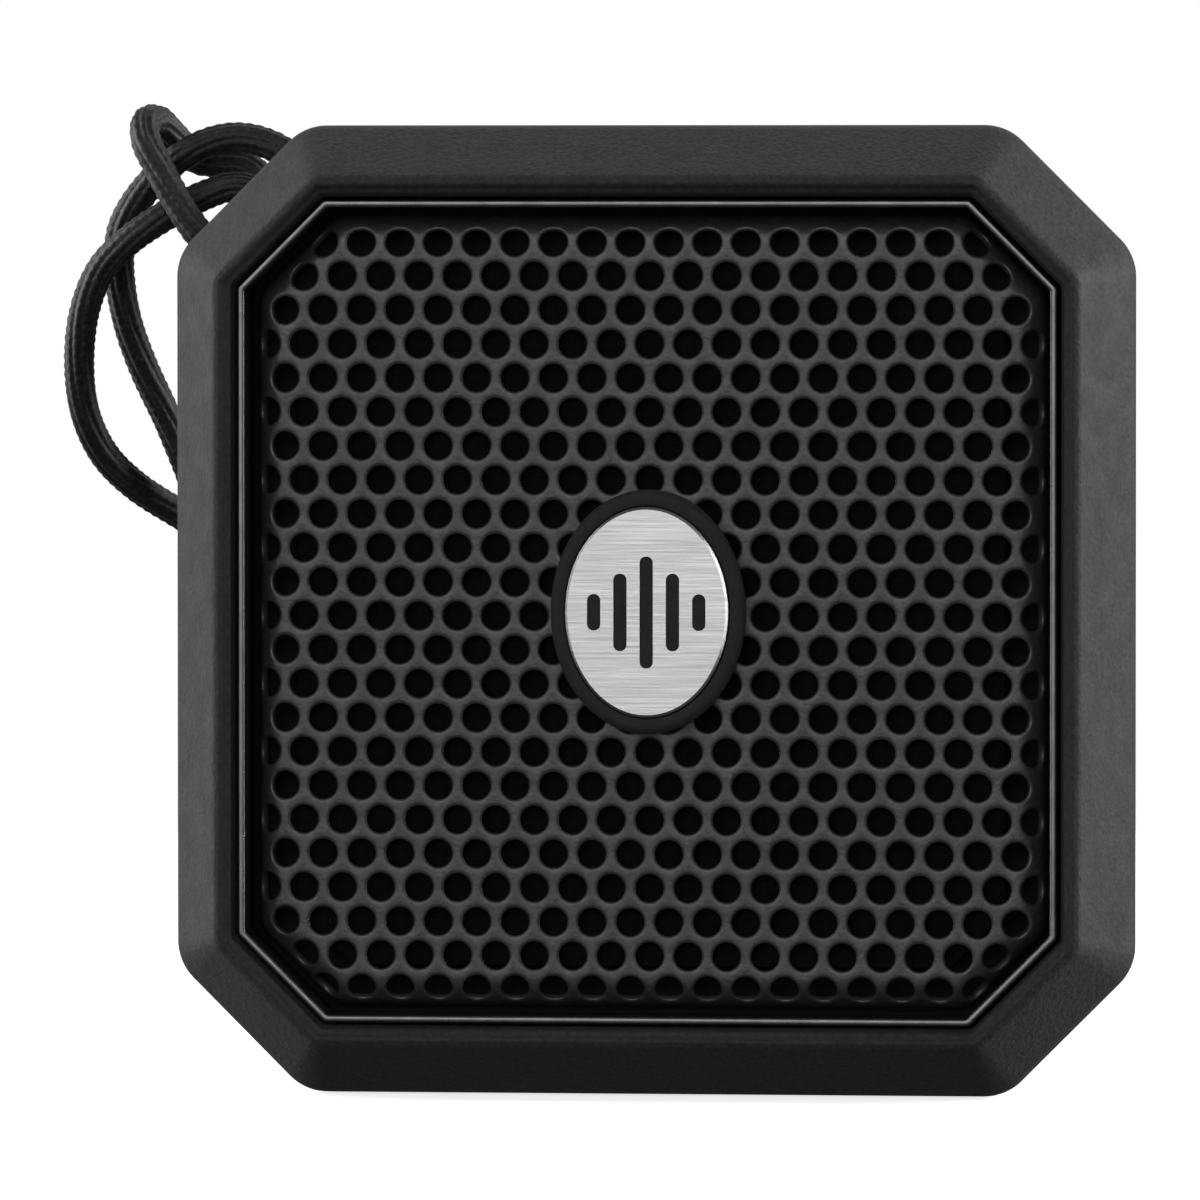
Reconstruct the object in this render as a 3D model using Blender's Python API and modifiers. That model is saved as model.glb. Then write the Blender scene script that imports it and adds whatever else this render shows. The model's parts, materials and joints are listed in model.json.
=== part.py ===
"""Shower speaker: a square housing with cut corners, a perforated metal front, one
full-range driver, a lithium cell, a circuit board under four top buttons, a rubber
port flap at the back and an elastic carrying loop at the top left corner.

Metres, +Z up. The origin lies under the middle of the housing, on the surface that it
stands on. The perforated front faces -Y, and the buttons are on top.
"""
import bpy
import bmesh
from math import atan2, cos, pi, radians, sin, sqrt, tan
from mathutils import Matrix, Vector

MM = 0.001
GAP = 0.3 * MM                      # clearance between neighbouring pieces

# ---- housing ---------------------------------------------------------------------
WIDTH = 90.0 * MM
HEIGHT = 90.5 * MM
FRONT_Y = -22.5 * MM                # crest of the front rim
BACK_Y = 22.5 * MM                  # flat back face
WIDEST_Y = -14.0 * MM               # the section with the largest outline
CORNER_LEG = 12.1 * MM              # how much each corner is cut, along either side
CORNER_RADIUS = 5.0 * MM
DRAFT = radians(7.0)                # sides and top lean in towards the back
WALL = 2.2 * MM
BACK_EDGE = 3.0 * MM
PARTING_Y = -10.7 * MM              # back of the front rim piece
MID_Z = HEIGHT / 2
EXTRA_HEIGHT = (HEIGHT - WIDTH) / 2

# ---- front -----------------------------------------------------------------------
RIM_INNER = 6.5 * MM                # insets are measured from the widest outline
SHOULDER_INNER = 9.5 * MM
SHOULDER_Y = -12.2 * MM
TRIM_OUTER = 6.8 * MM
TRIM_INNER = 7.5 * MM
TRIM_FRONT_Y = -21.4 * MM
GRILLE_OUTER = 8.1 * MM
GRILLE_ROLL = 2.8 * MM
GRILLE_FRONT_Y = -18.3 * MM
GRILLE_SHEET = 0.8 * MM
HOLE_PITCH = 3.6 * MM
HOLE_RADIUS = 1.3 * MM
ROW_HEIGHT = 3.16 * MM
ROW_DROP = 0.45 * MM                 # the rows of holes sit a little low in the sheet
MESH_INSET = 12.0 * MM
MESH_Y = (-17.2 * MM, -16.9 * MM)
BAFFLE_Y = (-15.0 * MM, -12.5 * MM)
BAFFLE_OPENING = 23.5 * MM
RIB_INSETS = (12.0 * MM, 13.6 * MM)
RIB_FRONT_Y = -16.6 * MM

BADGE_HALF = (9.05 * MM, 11.35 * MM)
BADGE_PLATE_HALF = (7.6 * MM, 9.75 * MM)
BADGE_BASE_Y = (-20.5 * MM, -18.6 * MM)
BADGE_FLOOR_Y = -19.7 * MM
BADGE_PLATE_Y = (-20.9 * MM, -20.0 * MM)

# ---- fasteners -------------------------------------------------------------------
CASE_SCREWS = ((-27.5, 27.5), (27.5, 27.5), (-30.0, -26.0), (30.0, -26.0))
POST_RADIUS = 3.4 * MM
POST_FRONT_Y = 6.0 * MM
COUNTERBORE = (2.8 * MM, 10.0 * MM)
SCREW_SHANK = 1.2 * MM
SCREW_HEAD = 2.2 * MM
SCREW_TIP_Y = -4.0 * MM
DRIVER_SCREW_CIRCLE = 26.4 * MM
DRIVER_SCREW_SHANK = 0.9 * MM
DRIVER_SCREW_HEAD = 1.8 * MM

# ---- top controls ----------------------------------------------------------------
DECK_Y = 4.0 * MM
BUTTON_NAMES = ("button_power", "button_minus", "button_play", "button_plus")
BUTTON_STEP = 14.0 * MM
BUTTON_SIZE = (10.0 * MM, 8.4 * MM)
BUTTON_PROUD = 0.9 * MM
BUTTON_FLANGE = (11.2 * MM, 10.0 * MM, 0.8 * MM)
PLUNGER_RADIUS = 1.5 * MM
PLUNGER_LENGTH = 0.5 * MM
PANEL_SIZE = (60.0 * MM, 14.4 * MM, 1.0 * MM)
PANEL_PROUD = 0.2 * MM
LED_RADIUS = 0.7 * MM
MIC_HOLE = 0.6 * MM

# ---- board, ports and cell ---------------------------------------------------------
BOARD_X = (-25.0 * MM, 27.0 * MM)
BOARD_Y = (-8.0 * MM, 19.5 * MM)
BOARD_Z = (78.0 * MM, 79.2 * MM)
SWITCH_SIZE = (6.0 * MM, 6.0 * MM, 3.5 * MM)
SWITCH_STEM = (1.7 * MM, 0.5 * MM)
AUX_X = -1.7 * MM
USB_X = 9.5 * MM
PORT_END_Y = 20.0 * MM
AUX_SIZE = (6.5 * MM, 12.0 * MM, 5.2 * MM)
AUX_HOLE = 1.8 * MM
USB_SIZE = (7.5 * MM, 5.8 * MM, 2.6 * MM)
USB_MOUTH = (6.7 * MM, 4.5 * MM, 1.7 * MM)
USB_TONGUE = (4.6 * MM, 3.6 * MM, 0.6 * MM)
CELL_RADIUS = 7.0 * MM
CELL_LENGTH = 50.0 * MM
CELL_CENTRE = (0.0, 4.0 * MM, 11.2 * MM)
CRADLE_WALL = 1.6 * MM
CRADLE_TOP = 9.5 * MM

# ---- port flap -------------------------------------------------------------------
RECESS_X = (-14.0 * MM, 18.9 * MM)
RECESS_Z = (69.6 * MM, 81.6 * MM)
RECESS_DEPTH = 1.5 * MM
HINGE_X = -10.15 * MM
FLAP_THICK = 1.2 * MM
PLUG_LENGTH = 1.6 * MM
PLUG_RADIUS = 1.5 * MM
USB_PLUG = (6.0 * MM, 1.4 * MM, 1.4 * MM)

# ---- carrying loop -----------------------------------------------------------------
CORD_RADIUS = 1.5 * MM
ANCHOR_V = 6.5 * MM                 # half its width along the cut corner
ANCHOR_Y = (8.3 * MM, 18.2 * MM)
ANCHOR_U = (45.4 * MM, 50.9 * MM)   # distances from the middle, across the cut corner
CORD_HOLES = ((3.2 * MM, 11.0 * MM), (-2.5 * MM, 15.5 * MM))
CORD_HOLE_RADIUS = 1.8 * MM
CORD_HOLE_FLOOR = 48.4 * MM
PIN_PLACE = (0.4 * MM, 46.2 * MM)
PIN_RADIUS = 0.9 * MM
PIN_Y = (4.5 * MM, 22.2 * MM)

# The cord's route in millimetres: out of the first hole, over the corner, down the far
# side of the loop to the table, up its near side, round the two strands and back in.
CORD_ROUTE = (
    (-32.2, 11.0, 81.9), (-34.5, 11.0, 84.3), (-36.3, 11.0, 86.2), (-38.4, 11.1, 88.0),
    (-40.9, 11.4, 89.1), (-43.5, 11.8, 89.4), (-46.2, 12.1, 88.8), (-48.5, 12.5, 87.6),
    (-50.4, 12.9, 86.2), (-52.0, 13.4, 84.6), (-53.5, 14.1, 82.7), (-54.7, 15.3, 80.5),
    (-55.2, 16.7, 77.9), (-55.2, 18.0, 74.9), (-54.7, 19.4, 71.4), (-53.6, 21.0, 67.6),
    (-51.3, 23.2, 61.9), (-48.8, 24.6, 55.2), (-46.4, 25.2, 46.7), (-44.7, 25.6, 36.7),
    (-43.7, 26.2, 26.2), (-43.4, 27.4, 15.7), (-43.2, 29.8, 7.6), (-42.0, 33.4, 2.9),
    (-38.3, 37.6, 1.7), (-33.0, 39.4, 1.7), (-27.8, 37.8, 1.8), (-24.7, 34.4, 4.2),
    (-23.6, 32.2, 10.5), (-24.0, 30.9, 19.2), (-26.6, 30.2, 28.5), (-31.4, 29.7, 36.9),
    (-38.0, 29.6, 44.0), (-45.2, 29.1, 49.4), (-51.2, 27.4, 53.2), (-54.9, 24.8, 55.9),
    (-57.4, 21.8, 58.9), (-58.8, 18.8, 62.9), (-59.0, 16.2, 67.7), (-58.1, 14.0, 72.9),
    (-56.2, 12.4, 76.9), (-53.5, 11.3, 79.5), (-50.3, 11.2, 81.7), (-46.9, 12.0, 83.6),
    (-43.5, 12.2, 84.7), (-41.2, 12.0, 84.2), (-40.3, 11.4, 82.8), (-40.6, 10.6, 81.2),
    (-42.2, 9.6, 79.6), (-44.0, 8.9, 79.0), (-45.6, 8.5, 79.6), (-47.0, 8.3, 81.3),
    (-48.4, 8.3, 83.5), (-50.0, 8.5, 86.4), (-51.4, 9.1, 89.1), (-51.6, 10.9, 90.9),
    (-50.8, 13.4, 91.0), (-49.5, 15.3, 89.4), (-47.6, 16.3, 87.4), (-45.1, 16.5, 87.0),
    (-42.7, 16.2, 86.6), (-40.9, 15.8, 84.9), (-38.9, 15.5, 80.9), (-36.2, 15.5, 77.9),
)
CURVE_STEPS = 24
CORD_TURN = radians(19.0)           # a new point after this much bend or this length
CORD_REACH = 7.0 * MM

# ---- colours -----------------------------------------------------------------------
RUBBER_BLACK = (0.030, 0.032, 0.035)
SHEET_STEEL = (0.045, 0.047, 0.050)
PLASTIC_BLACK = (0.020, 0.020, 0.022)
STEEL = (0.56, 0.57, 0.58)
BRASS = (0.62, 0.48, 0.22)
BOARD_GREEN = (0.02, 0.12, 0.05)

part = bpy.data.collections.new("shower_speaker")
cutters = bpy.data.collections.new("cutters")


# ---- scene, materials and placing -----------------------------------------------------
def clear_scene():
    for obj in list(bpy.data.objects):
        bpy.data.objects.remove(obj, do_unlink=True)
    for collection in (part, cutters):
        bpy.context.scene.collection.children.link(collection)


def material(name, colour, roughness, metallic=0.0):
    made = bpy.data.materials.new(name)
    made.use_nodes = True
    shader = made.node_tree.nodes["Principled BSDF"]
    shader.inputs["Base Color"].default_value = (*colour, 1.0)
    shader.inputs["Roughness"].default_value = roughness
    shader.inputs["Metallic"].default_value = metallic
    return made


def finish(obj, colour, roughness, metallic=0.0, parent=None):
    """Give an object its own material and its place in the part."""
    obj.data.materials.clear()
    obj.data.materials.append(material(obj.name + "_finish", colour, roughness, metallic))
    part.objects.link(obj)
    obj.parent = parent
    return obj


def as_tool(obj, parent=None):
    """Keep an object only as a cutter or as something to join."""
    cutters.objects.link(obj)
    obj.parent = parent
    obj.hide_render = True
    obj.display_type = "WIRE"
    return obj


def empty(name, location, rotation=(0.0, 0.0, 0.0), parent=None):
    made = bpy.data.objects.new(name, None)
    made.location = location
    made.rotation_euler = rotation
    made.parent = parent
    part.objects.link(made)
    return made


def combine(obj, tool, operation):
    step = obj.modifiers.new(operation.lower() + "_" + tool.name, "BOOLEAN")
    step.operation = operation
    step.object = tool
    return obj


def cut(obj, *tools):
    for tool in tools:
        combine(obj, tool, "DIFFERENCE")
    return obj


def join(obj, *tools):
    for tool in tools:
        combine(obj, tool, "UNION")
    return obj


# ---- basic shapes ------------------------------------------------------------------------
def from_bmesh(name, shape, location=(0.0, 0.0, 0.0)):
    mesh = bpy.data.meshes.new(name)
    shape.to_mesh(mesh)
    shape.free()
    obj = bpy.data.objects.new(name, mesh)
    obj.location = location
    return obj


def box(name, size, centre):
    shape = bmesh.new()
    bmesh.ops.create_cube(shape, size=1.0)
    bmesh.ops.scale(shape, vec=size, verts=shape.verts)
    return from_bmesh(name, shape, centre)


def box_between(name, low, high):
    size = [b - a for a, b in zip(low, high)]
    centre = [(a + b) / 2 for a, b in zip(low, high)]
    return box(name, size, centre)


def rod(name, radius, start, end, segments=20):
    """A round bar from one point to the other."""
    start, end = Vector(start), Vector(end)
    along = end - start
    shape = bmesh.new()
    bmesh.ops.create_cone(
        shape, cap_ends=True, segments=segments, radius1=radius, radius2=radius, depth=along.length)
    obj = from_bmesh(name, shape, (start + end) / 2)
    obj.rotation_euler = along.to_track_quat("Z", "Y").to_euler()
    obj.data.shade_smooth()
    obj.data.set_sharp_from_angle(angle=radians(40))
    return obj


def turned(name, profile, closed=True, steps=28, location=None):
    """Turn (radius, forward) points about the driver's axis; forward is towards -Y."""
    mesh = bpy.data.meshes.new(name)
    verts = [(radius, 0.0, forward) for radius, forward in profile]
    edges = [(i, i + 1) for i in range(len(verts) - 1)]
    if closed:
        edges.append((len(verts) - 1, 0))
    mesh.from_pydata(verts, edges, [])
    obj = bpy.data.objects.new(name, mesh)
    obj.location = location or (0.0, 0.0, MID_Z)
    obj.rotation_euler = (pi / 2, 0.0, 0.0)
    screw = obj.modifiers.new("turn", "SCREW")
    screw.steps = steps
    screw.render_steps = steps
    screw.use_merge_vertices = True
    screw.merge_threshold = 0.00001
    screw.use_smooth_shade = True
    return obj


def in_mm(points):
    return [tuple(value * MM for value in point) for point in points]


# ---- the cut-corner outline ------------------------------------------------------------------
def rounded(corners, radius, steps):
    """Replace each corner of a closed outline by an arc."""
    points = []
    count = len(corners)
    for i, corner in enumerate(corners):
        here = Vector(corner)
        before = (Vector(corners[i - 1]) - here).normalized()
        after = (Vector(corners[(i + 1) % count]) - here).normalized()
        half_angle = before.angle(after) / 2
        centre = here + (before + after).normalized() * (radius / sin(half_angle))
        reach = radius / tan(half_angle)
        first = here + before * reach - centre
        last = here + after * reach - centre
        sweep = atan2(first.x * last.y - first.y * last.x, first.dot(last))
        for step in range(steps + 1):
            turn = sweep * step / steps
            points.append((centre.x + first.x * cos(turn) - first.y * sin(turn),
                           centre.y + first.x * sin(turn) + first.y * cos(turn)))
    return points


def outline(inset, tall=0.0, draft=0.0, radius=None, steps=2):
    """The cut-corner outline as (x, z) round the housing's middle.

    inset moves every side in; tall is the share of the extra height; draft moves in
    every side but the bottom, which stays flat.
    """
    side = WIDTH / 2 - inset - draft
    top = WIDTH / 2 + EXTRA_HEIGHT * tall - inset - draft
    bottom = WIDTH / 2 + EXTRA_HEIGHT * tall - inset
    reach = WIDTH + EXTRA_HEIGHT * tall - CORNER_LEG - (inset + draft) * sqrt(2)
    if radius is None:
        radius = max(CORNER_RADIUS - 0.8 * inset, 0.6 * MM)
    corners = [
        (side, reach - side), (reach - top, top), (top - reach, top), (-side, reach - side),
        (-side, side - reach), (bottom - reach, -bottom), (reach - bottom, -bottom),
        (side, side - reach)]
    return rounded(corners, radius, steps)


def loft(name, sections, closed=False, capped=True):
    """Join (y, outline) sections with the same number of points into one skin."""
    shape = bmesh.new()
    loops = []
    for y, points in sections:
        loops.append([shape.verts.new((x, y, z)) for x, z in points])
    pairs = list(zip(loops, loops[1:]))
    if closed:
        pairs.append((loops[-1], loops[0]))
    for one, other in pairs:
        for i in range(len(one)):
            j = (i + 1) % len(one)
            shape.faces.new((one[i], one[j], other[j], other[i]))
    if not closed:
        shape.faces.new(loops[-1])
        if capped:
            shape.faces.new(loops[0])
    bmesh.ops.recalc_face_normals(shape, faces=shape.faces)
    return from_bmesh(name, shape, (0.0, 0.0, MID_Z))


def ring(name, profile, radius=None, steps=2):
    """Sweep a closed (inset, y, tall) profile round the outline."""
    sections = [(y, outline(inset, tall, radius=radius, steps=steps)) for inset, y, tall in profile]
    return loft(name, sections, closed=True)


def draft_at(y):
    """How far the sides have leaned in at a distance behind the widest section."""
    return (y - WIDEST_Y) * tan(DRAFT)


def flat_shape(name, outlines, thickness):
    """A flat sheet from closed (x, z) outlines; those inside the first are holes."""
    curve = bpy.data.curves.new(name, "CURVE")
    curve.dimensions = "2D"
    curve.fill_mode = "BOTH"
    curve.extrude = thickness / 2
    for points in outlines:
        spline = curve.splines.new("POLY")
        spline.points.add(len(points) - 1)
        for point, (x, z) in zip(spline.points, points):
            point.co = (x, z, 0.0, 1.0)
        spline.use_cyclic_u = True
    obj = bpy.data.objects.new(name, curve)
    obj.rotation_euler = (pi / 2, 0.0, 0.0)
    return obj


def as_mesh(obj):
    """Turn a curve object into a welded mesh object of the same name and place."""
    bpy.context.scene.collection.objects.link(obj)
    bpy.context.view_layer.update()
    evaluated = obj.evaluated_get(bpy.context.evaluated_depsgraph_get())
    mesh = bpy.data.meshes.new_from_object(evaluated)
    shape = bmesh.new()
    shape.from_mesh(mesh)
    bmesh.ops.remove_doubles(shape, verts=shape.verts, dist=0.000001)
    shape.to_mesh(mesh)
    shape.free()
    name, place = obj.name, obj.matrix_world.copy()
    bpy.data.objects.remove(obj, do_unlink=True)
    made = bpy.data.objects.new(name, mesh)
    made.matrix_world = place
    return made


def ellipse(half_x, half_z, count=36):
    return [(half_x * cos(2 * pi * i / count), half_z * sin(2 * pi * i / count)) for i in range(count)]


# ---- front pieces --------------------------------------------------------------------------------
def front_bezel():
    profile = [
        (draft_at(PARTING_Y), PARTING_Y, 1.0),
        (0.0, WIDEST_Y, 1.0),
        (0.35 * MM, -15.4 * MM, 0.9),
        (4.5 * MM, -21.3 * MM, 0.1),
        (4.9 * MM, -22.0 * MM, 0.0),
        (5.4 * MM, FRONT_Y, 0.0),
        (5.9 * MM, -22.3 * MM, 0.0),
        (RIM_INNER, -20.8 * MM, 0.0),
        (RIM_INNER, SHOULDER_Y, 0.0),
        (SHOULDER_INNER, SHOULDER_Y, 0.0),
        (SHOULDER_INNER, PARTING_Y, 0.0)]
    finish(ring("front_bezel", profile), RUBBER_BLACK, 0.75)


def trim_ring():
    bevel = 0.25 * MM
    back = BAFFLE_Y[0] - GAP
    profile = [
        (TRIM_OUTER, back, 0.0),
        (TRIM_OUTER, TRIM_FRONT_Y + bevel, 0.0),
        (TRIM_OUTER + bevel, TRIM_FRONT_Y, 0.0),
        (TRIM_INNER - bevel, TRIM_FRONT_Y, 0.0),
        (TRIM_INNER, TRIM_FRONT_Y + bevel, 0.0),
        (TRIM_INNER, back, 0.0)]
    finish(ring("trim_ring", profile, steps=1), (0.10, 0.10, 0.11), 0.22, 0.9)


def hole_centres():
    """Centres of the staggered holes in the flat of the grille, one in four of them."""
    pitch = 2 * HOLE_PITCH
    for row in range(-5, 6):
        shift = 0.0 if row % 2 == 0 else pitch / 2
        for column in range(-5, 6):
            x = column * pitch + shift
            z = row * 2 * ROW_HEIGHT - ROW_DROP
            under_badge = abs(x) < BADGE_HALF[0] and abs(z) < BADGE_HALF[1]
            if abs(x) < 32.5 * MM and abs(x) + abs(z) < 60 * MM and not under_badge:
                yield x, z


def grille():
    """A perforated sheet with its edge rolled back all round."""
    flat_inset = GRILLE_OUTER + GRILLE_ROLL
    sections = []
    for angle in (90, 60, 30, 0):
        turn = radians(angle)
        inset = flat_inset - GRILLE_ROLL * sin(turn)
        y = GRILLE_FRONT_Y + GRILLE_ROLL * (1 - cos(turn))
        sections.append((y, outline(inset, radius=3.0 * MM - GRILLE_ROLL * cos(turn) / 2, steps=1)))
    sheet = loft("grille", sections, capped=False)
    wall = sheet.modifiers.new("wall", "SOLIDIFY")
    wall.thickness = GRILLE_SHEET
    wall.offset = -1.0
    wall.use_even_offset = True
    holes = bmesh.new()
    for x, z in hole_centres():
        place = Matrix.Translation((x, GRILLE_FRONT_Y, z)) @ Matrix.Rotation(pi / 2, 4, "X")
        bmesh.ops.create_cone(
            holes, cap_ends=True, segments=6, radius1=HOLE_RADIUS, radius2=HOLE_RADIUS,
            depth=4 * MM, matrix=place)
    cut(sheet, as_tool(from_bmesh("grille_holes", holes, (0.0, 0.0, MID_Z))))
    finish(sheet, SHEET_STEEL, 0.5, 0.6)


def acoustic_mesh():
    sections = [(y, outline(MESH_INSET, steps=1)) for y in MESH_Y]
    finish(loft("acoustic_mesh", sections), (0.008, 0.008, 0.009), 0.95)


def badge():
    base = flat_shape("badge_base", [ellipse(*BADGE_HALF)], BADGE_BASE_Y[1] - BADGE_BASE_Y[0])
    base.location = (0.0, sum(BADGE_BASE_Y) / 2, MID_Z)
    base = as_mesh(base)
    pocket_half = [half + GAP for half in BADGE_PLATE_HALF]
    depth = 4.0 * MM
    pocket = flat_shape("badge_pocket", [ellipse(*pocket_half)], depth)
    pocket.location = (0.0, BADGE_FLOOR_Y - depth / 2, MID_Z)
    cut(base, as_tool(as_mesh(pocket)))
    finish(base, RUBBER_BLACK, 0.7)
    plate = flat_shape("badge_plate", [ellipse(*BADGE_PLATE_HALF)], BADGE_PLATE_Y[1] - BADGE_PLATE_Y[0])
    plate.location = (0.0, sum(BADGE_PLATE_Y) / 2, MID_Z)
    finish(as_mesh(plate), (0.62, 0.60, 0.58), 0.32, 1.0)


def baffle():
    """The plate that holds the driver, with a rib for the cloth and four screw posts."""
    sections = [(y, outline(TRIM_OUTER, steps=1)) for y in BAFFLE_Y]
    plate = loft("baffle", sections)
    buried = BAFFLE_Y[0] + 0.5 * MM
    rib = ring("baffle_rib", [
        (RIB_INSETS[0], buried, 0.0), (RIB_INSETS[0], RIB_FRONT_Y, 0.0),
        (RIB_INSETS[1], RIB_FRONT_Y, 0.0), (RIB_INSETS[1], buried, 0.0)], steps=1)
    join(plate, as_tool(rib))
    opening = rod("baffle_opening", BAFFLE_OPENING, (0, -20 * MM, MID_Z), (0, -10 * MM, MID_Z), 32)
    cut(plate, as_tool(opening))
    for i, (x, z) in enumerate(CASE_SCREWS, 1):
        x, z = x * MM, MID_Z + z * MM
        post = rod(f"baffle_post_{i}", POST_RADIUS - 0.2 * MM, (x, BAFFLE_Y[1] - MM, z),
                   (x, POST_FRONT_Y - GAP, z), 12)
        pilot = rod(f"baffle_pilot_{i}", SCREW_SHANK + GAP, (x, SCREW_TIP_Y - GAP, z), (x, 8 * MM, z), 10)
        join(plate, as_tool(post))
        cut(plate, as_tool(pilot))
    for i, (x, z) in enumerate(driver_screw_places(), 1):
        hole = rod(f"baffle_hole_{i}", DRIVER_SCREW_SHANK + GAP, (x, -14.5 * MM, z), (x, -11 * MM, z), 8)
        cut(plate, as_tool(hole))
    finish(plate, PLASTIC_BLACK, 0.6)


# ---- driver --------------------------------------------------------------------------------------
def driver_screw_places():
    for k in range(4):
        turn = pi / 4 + k * pi / 2
        yield DRIVER_SCREW_CIRCLE * cos(turn), MID_Z + DRIVER_SCREW_CIRCLE * sin(turn)


def driver_basket():
    profile = in_mm([
        (28.5, 11.4), (28.5, 10.2), (24.6, 10.2), (23.8, 6.0), (18.6, -1.0), (18.6, -2.2),
        (9.0, -2.2), (9.0, -1.2), (17.4, -1.2), (22.8, 6.2), (23.4, 9.6), (21.4, 9.6), (21.4, 11.4)])
    basket = turned("driver_basket", profile)
    for k in range(4):
        turn = k * pi / 2
        direction = Vector((cos(turn), 0.0, sin(turn)))
        middle = direction * 22.0 * MM + Vector((0.0, -3.2 * MM, MID_Z))
        window = box(f"basket_window_{k + 1}", (12 * MM, 5.2 * MM, 17 * MM), middle)
        window.rotation_euler = (0.0, -turn, 0.0)
        cut(basket, as_tool(window))
    for i, (x, z) in enumerate(driver_screw_places(), 1):
        hole = rod(f"basket_hole_{i}", DRIVER_SCREW_SHANK + GAP, (x, -13 * MM, z), (x, -9 * MM, z), 8)
        cut(basket, as_tool(hole))
    finish(basket, (0.12, 0.12, 0.13), 0.4, 0.9)


def driver_screws():
    for i, (x, z) in enumerate(driver_screw_places(), 1):
        profile = [
            (0.0, 14.2 * MM), (DRIVER_SCREW_SHANK, 14.2 * MM), (DRIVER_SCREW_SHANK, 9.9 * MM),
            (DRIVER_SCREW_HEAD, 9.9 * MM), (DRIVER_SCREW_HEAD * 0.8, 8.7 * MM), (0.0, 8.7 * MM)]
        screw = turned(f"driver_screw_{i}", profile, closed=False, steps=10, location=(x, 0.0, z))
        finish(screw, STEEL, 0.35, 1.0)


def moving_cone():
    """Cone, dust cap and coil share an empty on the driver's axis, along which they slide."""
    axis = empty("cone_axis", (0.0, 0.0, MID_Z), (pi / 2, 0.0, 0.0))
    cone = turned("cone", in_mm([
        (18.6, 11.4), (18.6, 10.9), (17.4, 10.9), (8.7, 3.6), (8.7, 4.3), (17.2, 11.4)]))
    cap = turned("dust_cap", in_mm([
        (0.0, 8.2), (3.2, 8.0), (6.2, 7.2), (8.4, 5.9), (9.2, 5.3), (0.0, 5.3)]), closed=False)
    coil = turned("voice_coil", in_mm([(8.3, 3.3), (8.3, -6.5), (7.7, -6.5), (7.7, 3.3)]))
    finishes = (((0.02, 0.02, 0.022), 0.6, 0.0), ((0.03, 0.03, 0.033), 0.4, 0.0), (BRASS, 0.4, 0.9))
    for piece, look in zip((cone, cap, coil), finishes):
        piece.location = (0.0, 0.0, 0.0)
        piece.rotation_euler = (0.0, 0.0, 0.0)
        finish(piece, *look, parent=axis)


def suspension():
    """The rubber half-roll and the corrugated disc that let the cone move."""
    inner, outer, base, thick = 18.6 * MM, 21.6 * MM, 11.7 * MM, 0.4 * MM
    middle, radius = (inner + outer) / 2, (outer - inner) / 2
    front = [(23.2 * MM, base + thick)]
    back = [(17.6 * MM, base)]
    roll = []
    for step in range(7):
        turn = pi * step / 6
        front_point = (middle + radius * cos(turn), base + thick + radius * sin(turn))
        back_point = (middle + (radius - thick) * cos(turn), base + (radius - thick) * sin(turn))
        front.append(front_point)
        roll.append(back_point)
    front.append((17.6 * MM, base + thick))
    back += list(reversed(roll)) + [(23.2 * MM, base)]
    finish(turned("surround", list(reversed(front + back))), (0.015, 0.015, 0.016), 0.7)

    waves, low, high = 4, 8.7 * MM, 17.0 * MM
    upper = []
    for step in range(2 * waves + 1):
        radial = low + (high - low) * step / (2 * waves)
        upper.append((radial, 0.05 * MM if step % 2 else -0.55 * MM))
    lower = [(radial, forward - 0.35 * MM) for radial, forward in upper]
    finish(turned("spider", upper + lower[::-1]), (0.45, 0.24, 0.06), 0.8)


def motor():
    plate = turned("top_plate", in_mm([(17.6, -2.5), (17.6, -5.5), (8.7, -5.5), (8.7, -2.5)]))
    finish(plate, STEEL, 0.45, 1.0)
    magnet = turned("magnet", in_mm([(18.0, -5.8), (18.0, -12.3), (10.0, -12.3), (10.0, -5.8)]))
    finish(magnet, (0.05, 0.05, 0.055), 0.6, 0.2)
    yoke = turned("yoke", in_mm([
        (0.0, -2.5), (7.4, -2.5), (7.4, -12.6), (17.5, -12.6), (17.5, -15.1), (0.0, -15.1)]),
        closed=False)
    finish(yoke, STEEL, 0.45, 1.0)


def driver_gasket():
    profile = in_mm([(25.2, 12.2), (25.2, 11.7), (23.5, 11.7), (23.5, 12.2)])
    finish(turned("driver_gasket", profile), (0.03, 0.03, 0.03), 0.95)


# ---- housing back ------------------------------------------------------------------------------------
def shell_sections():
    front = PARTING_Y + GAP + WALL * sin(DRAFT)
    edge = BACK_Y - BACK_EDGE
    yield front, outline(0.0, 1.0, draft_at(front))
    yield edge, outline(0.0, 1.0, draft_at(edge))
    for angle in (30, 60, 90):
        turn = radians(angle)
        pull = BACK_EDGE * (1 - cos(turn))
        y = edge + BACK_EDGE * sin(turn)
        yield y, outline(0.0, 1.0, draft_at(y) + pull)


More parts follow.
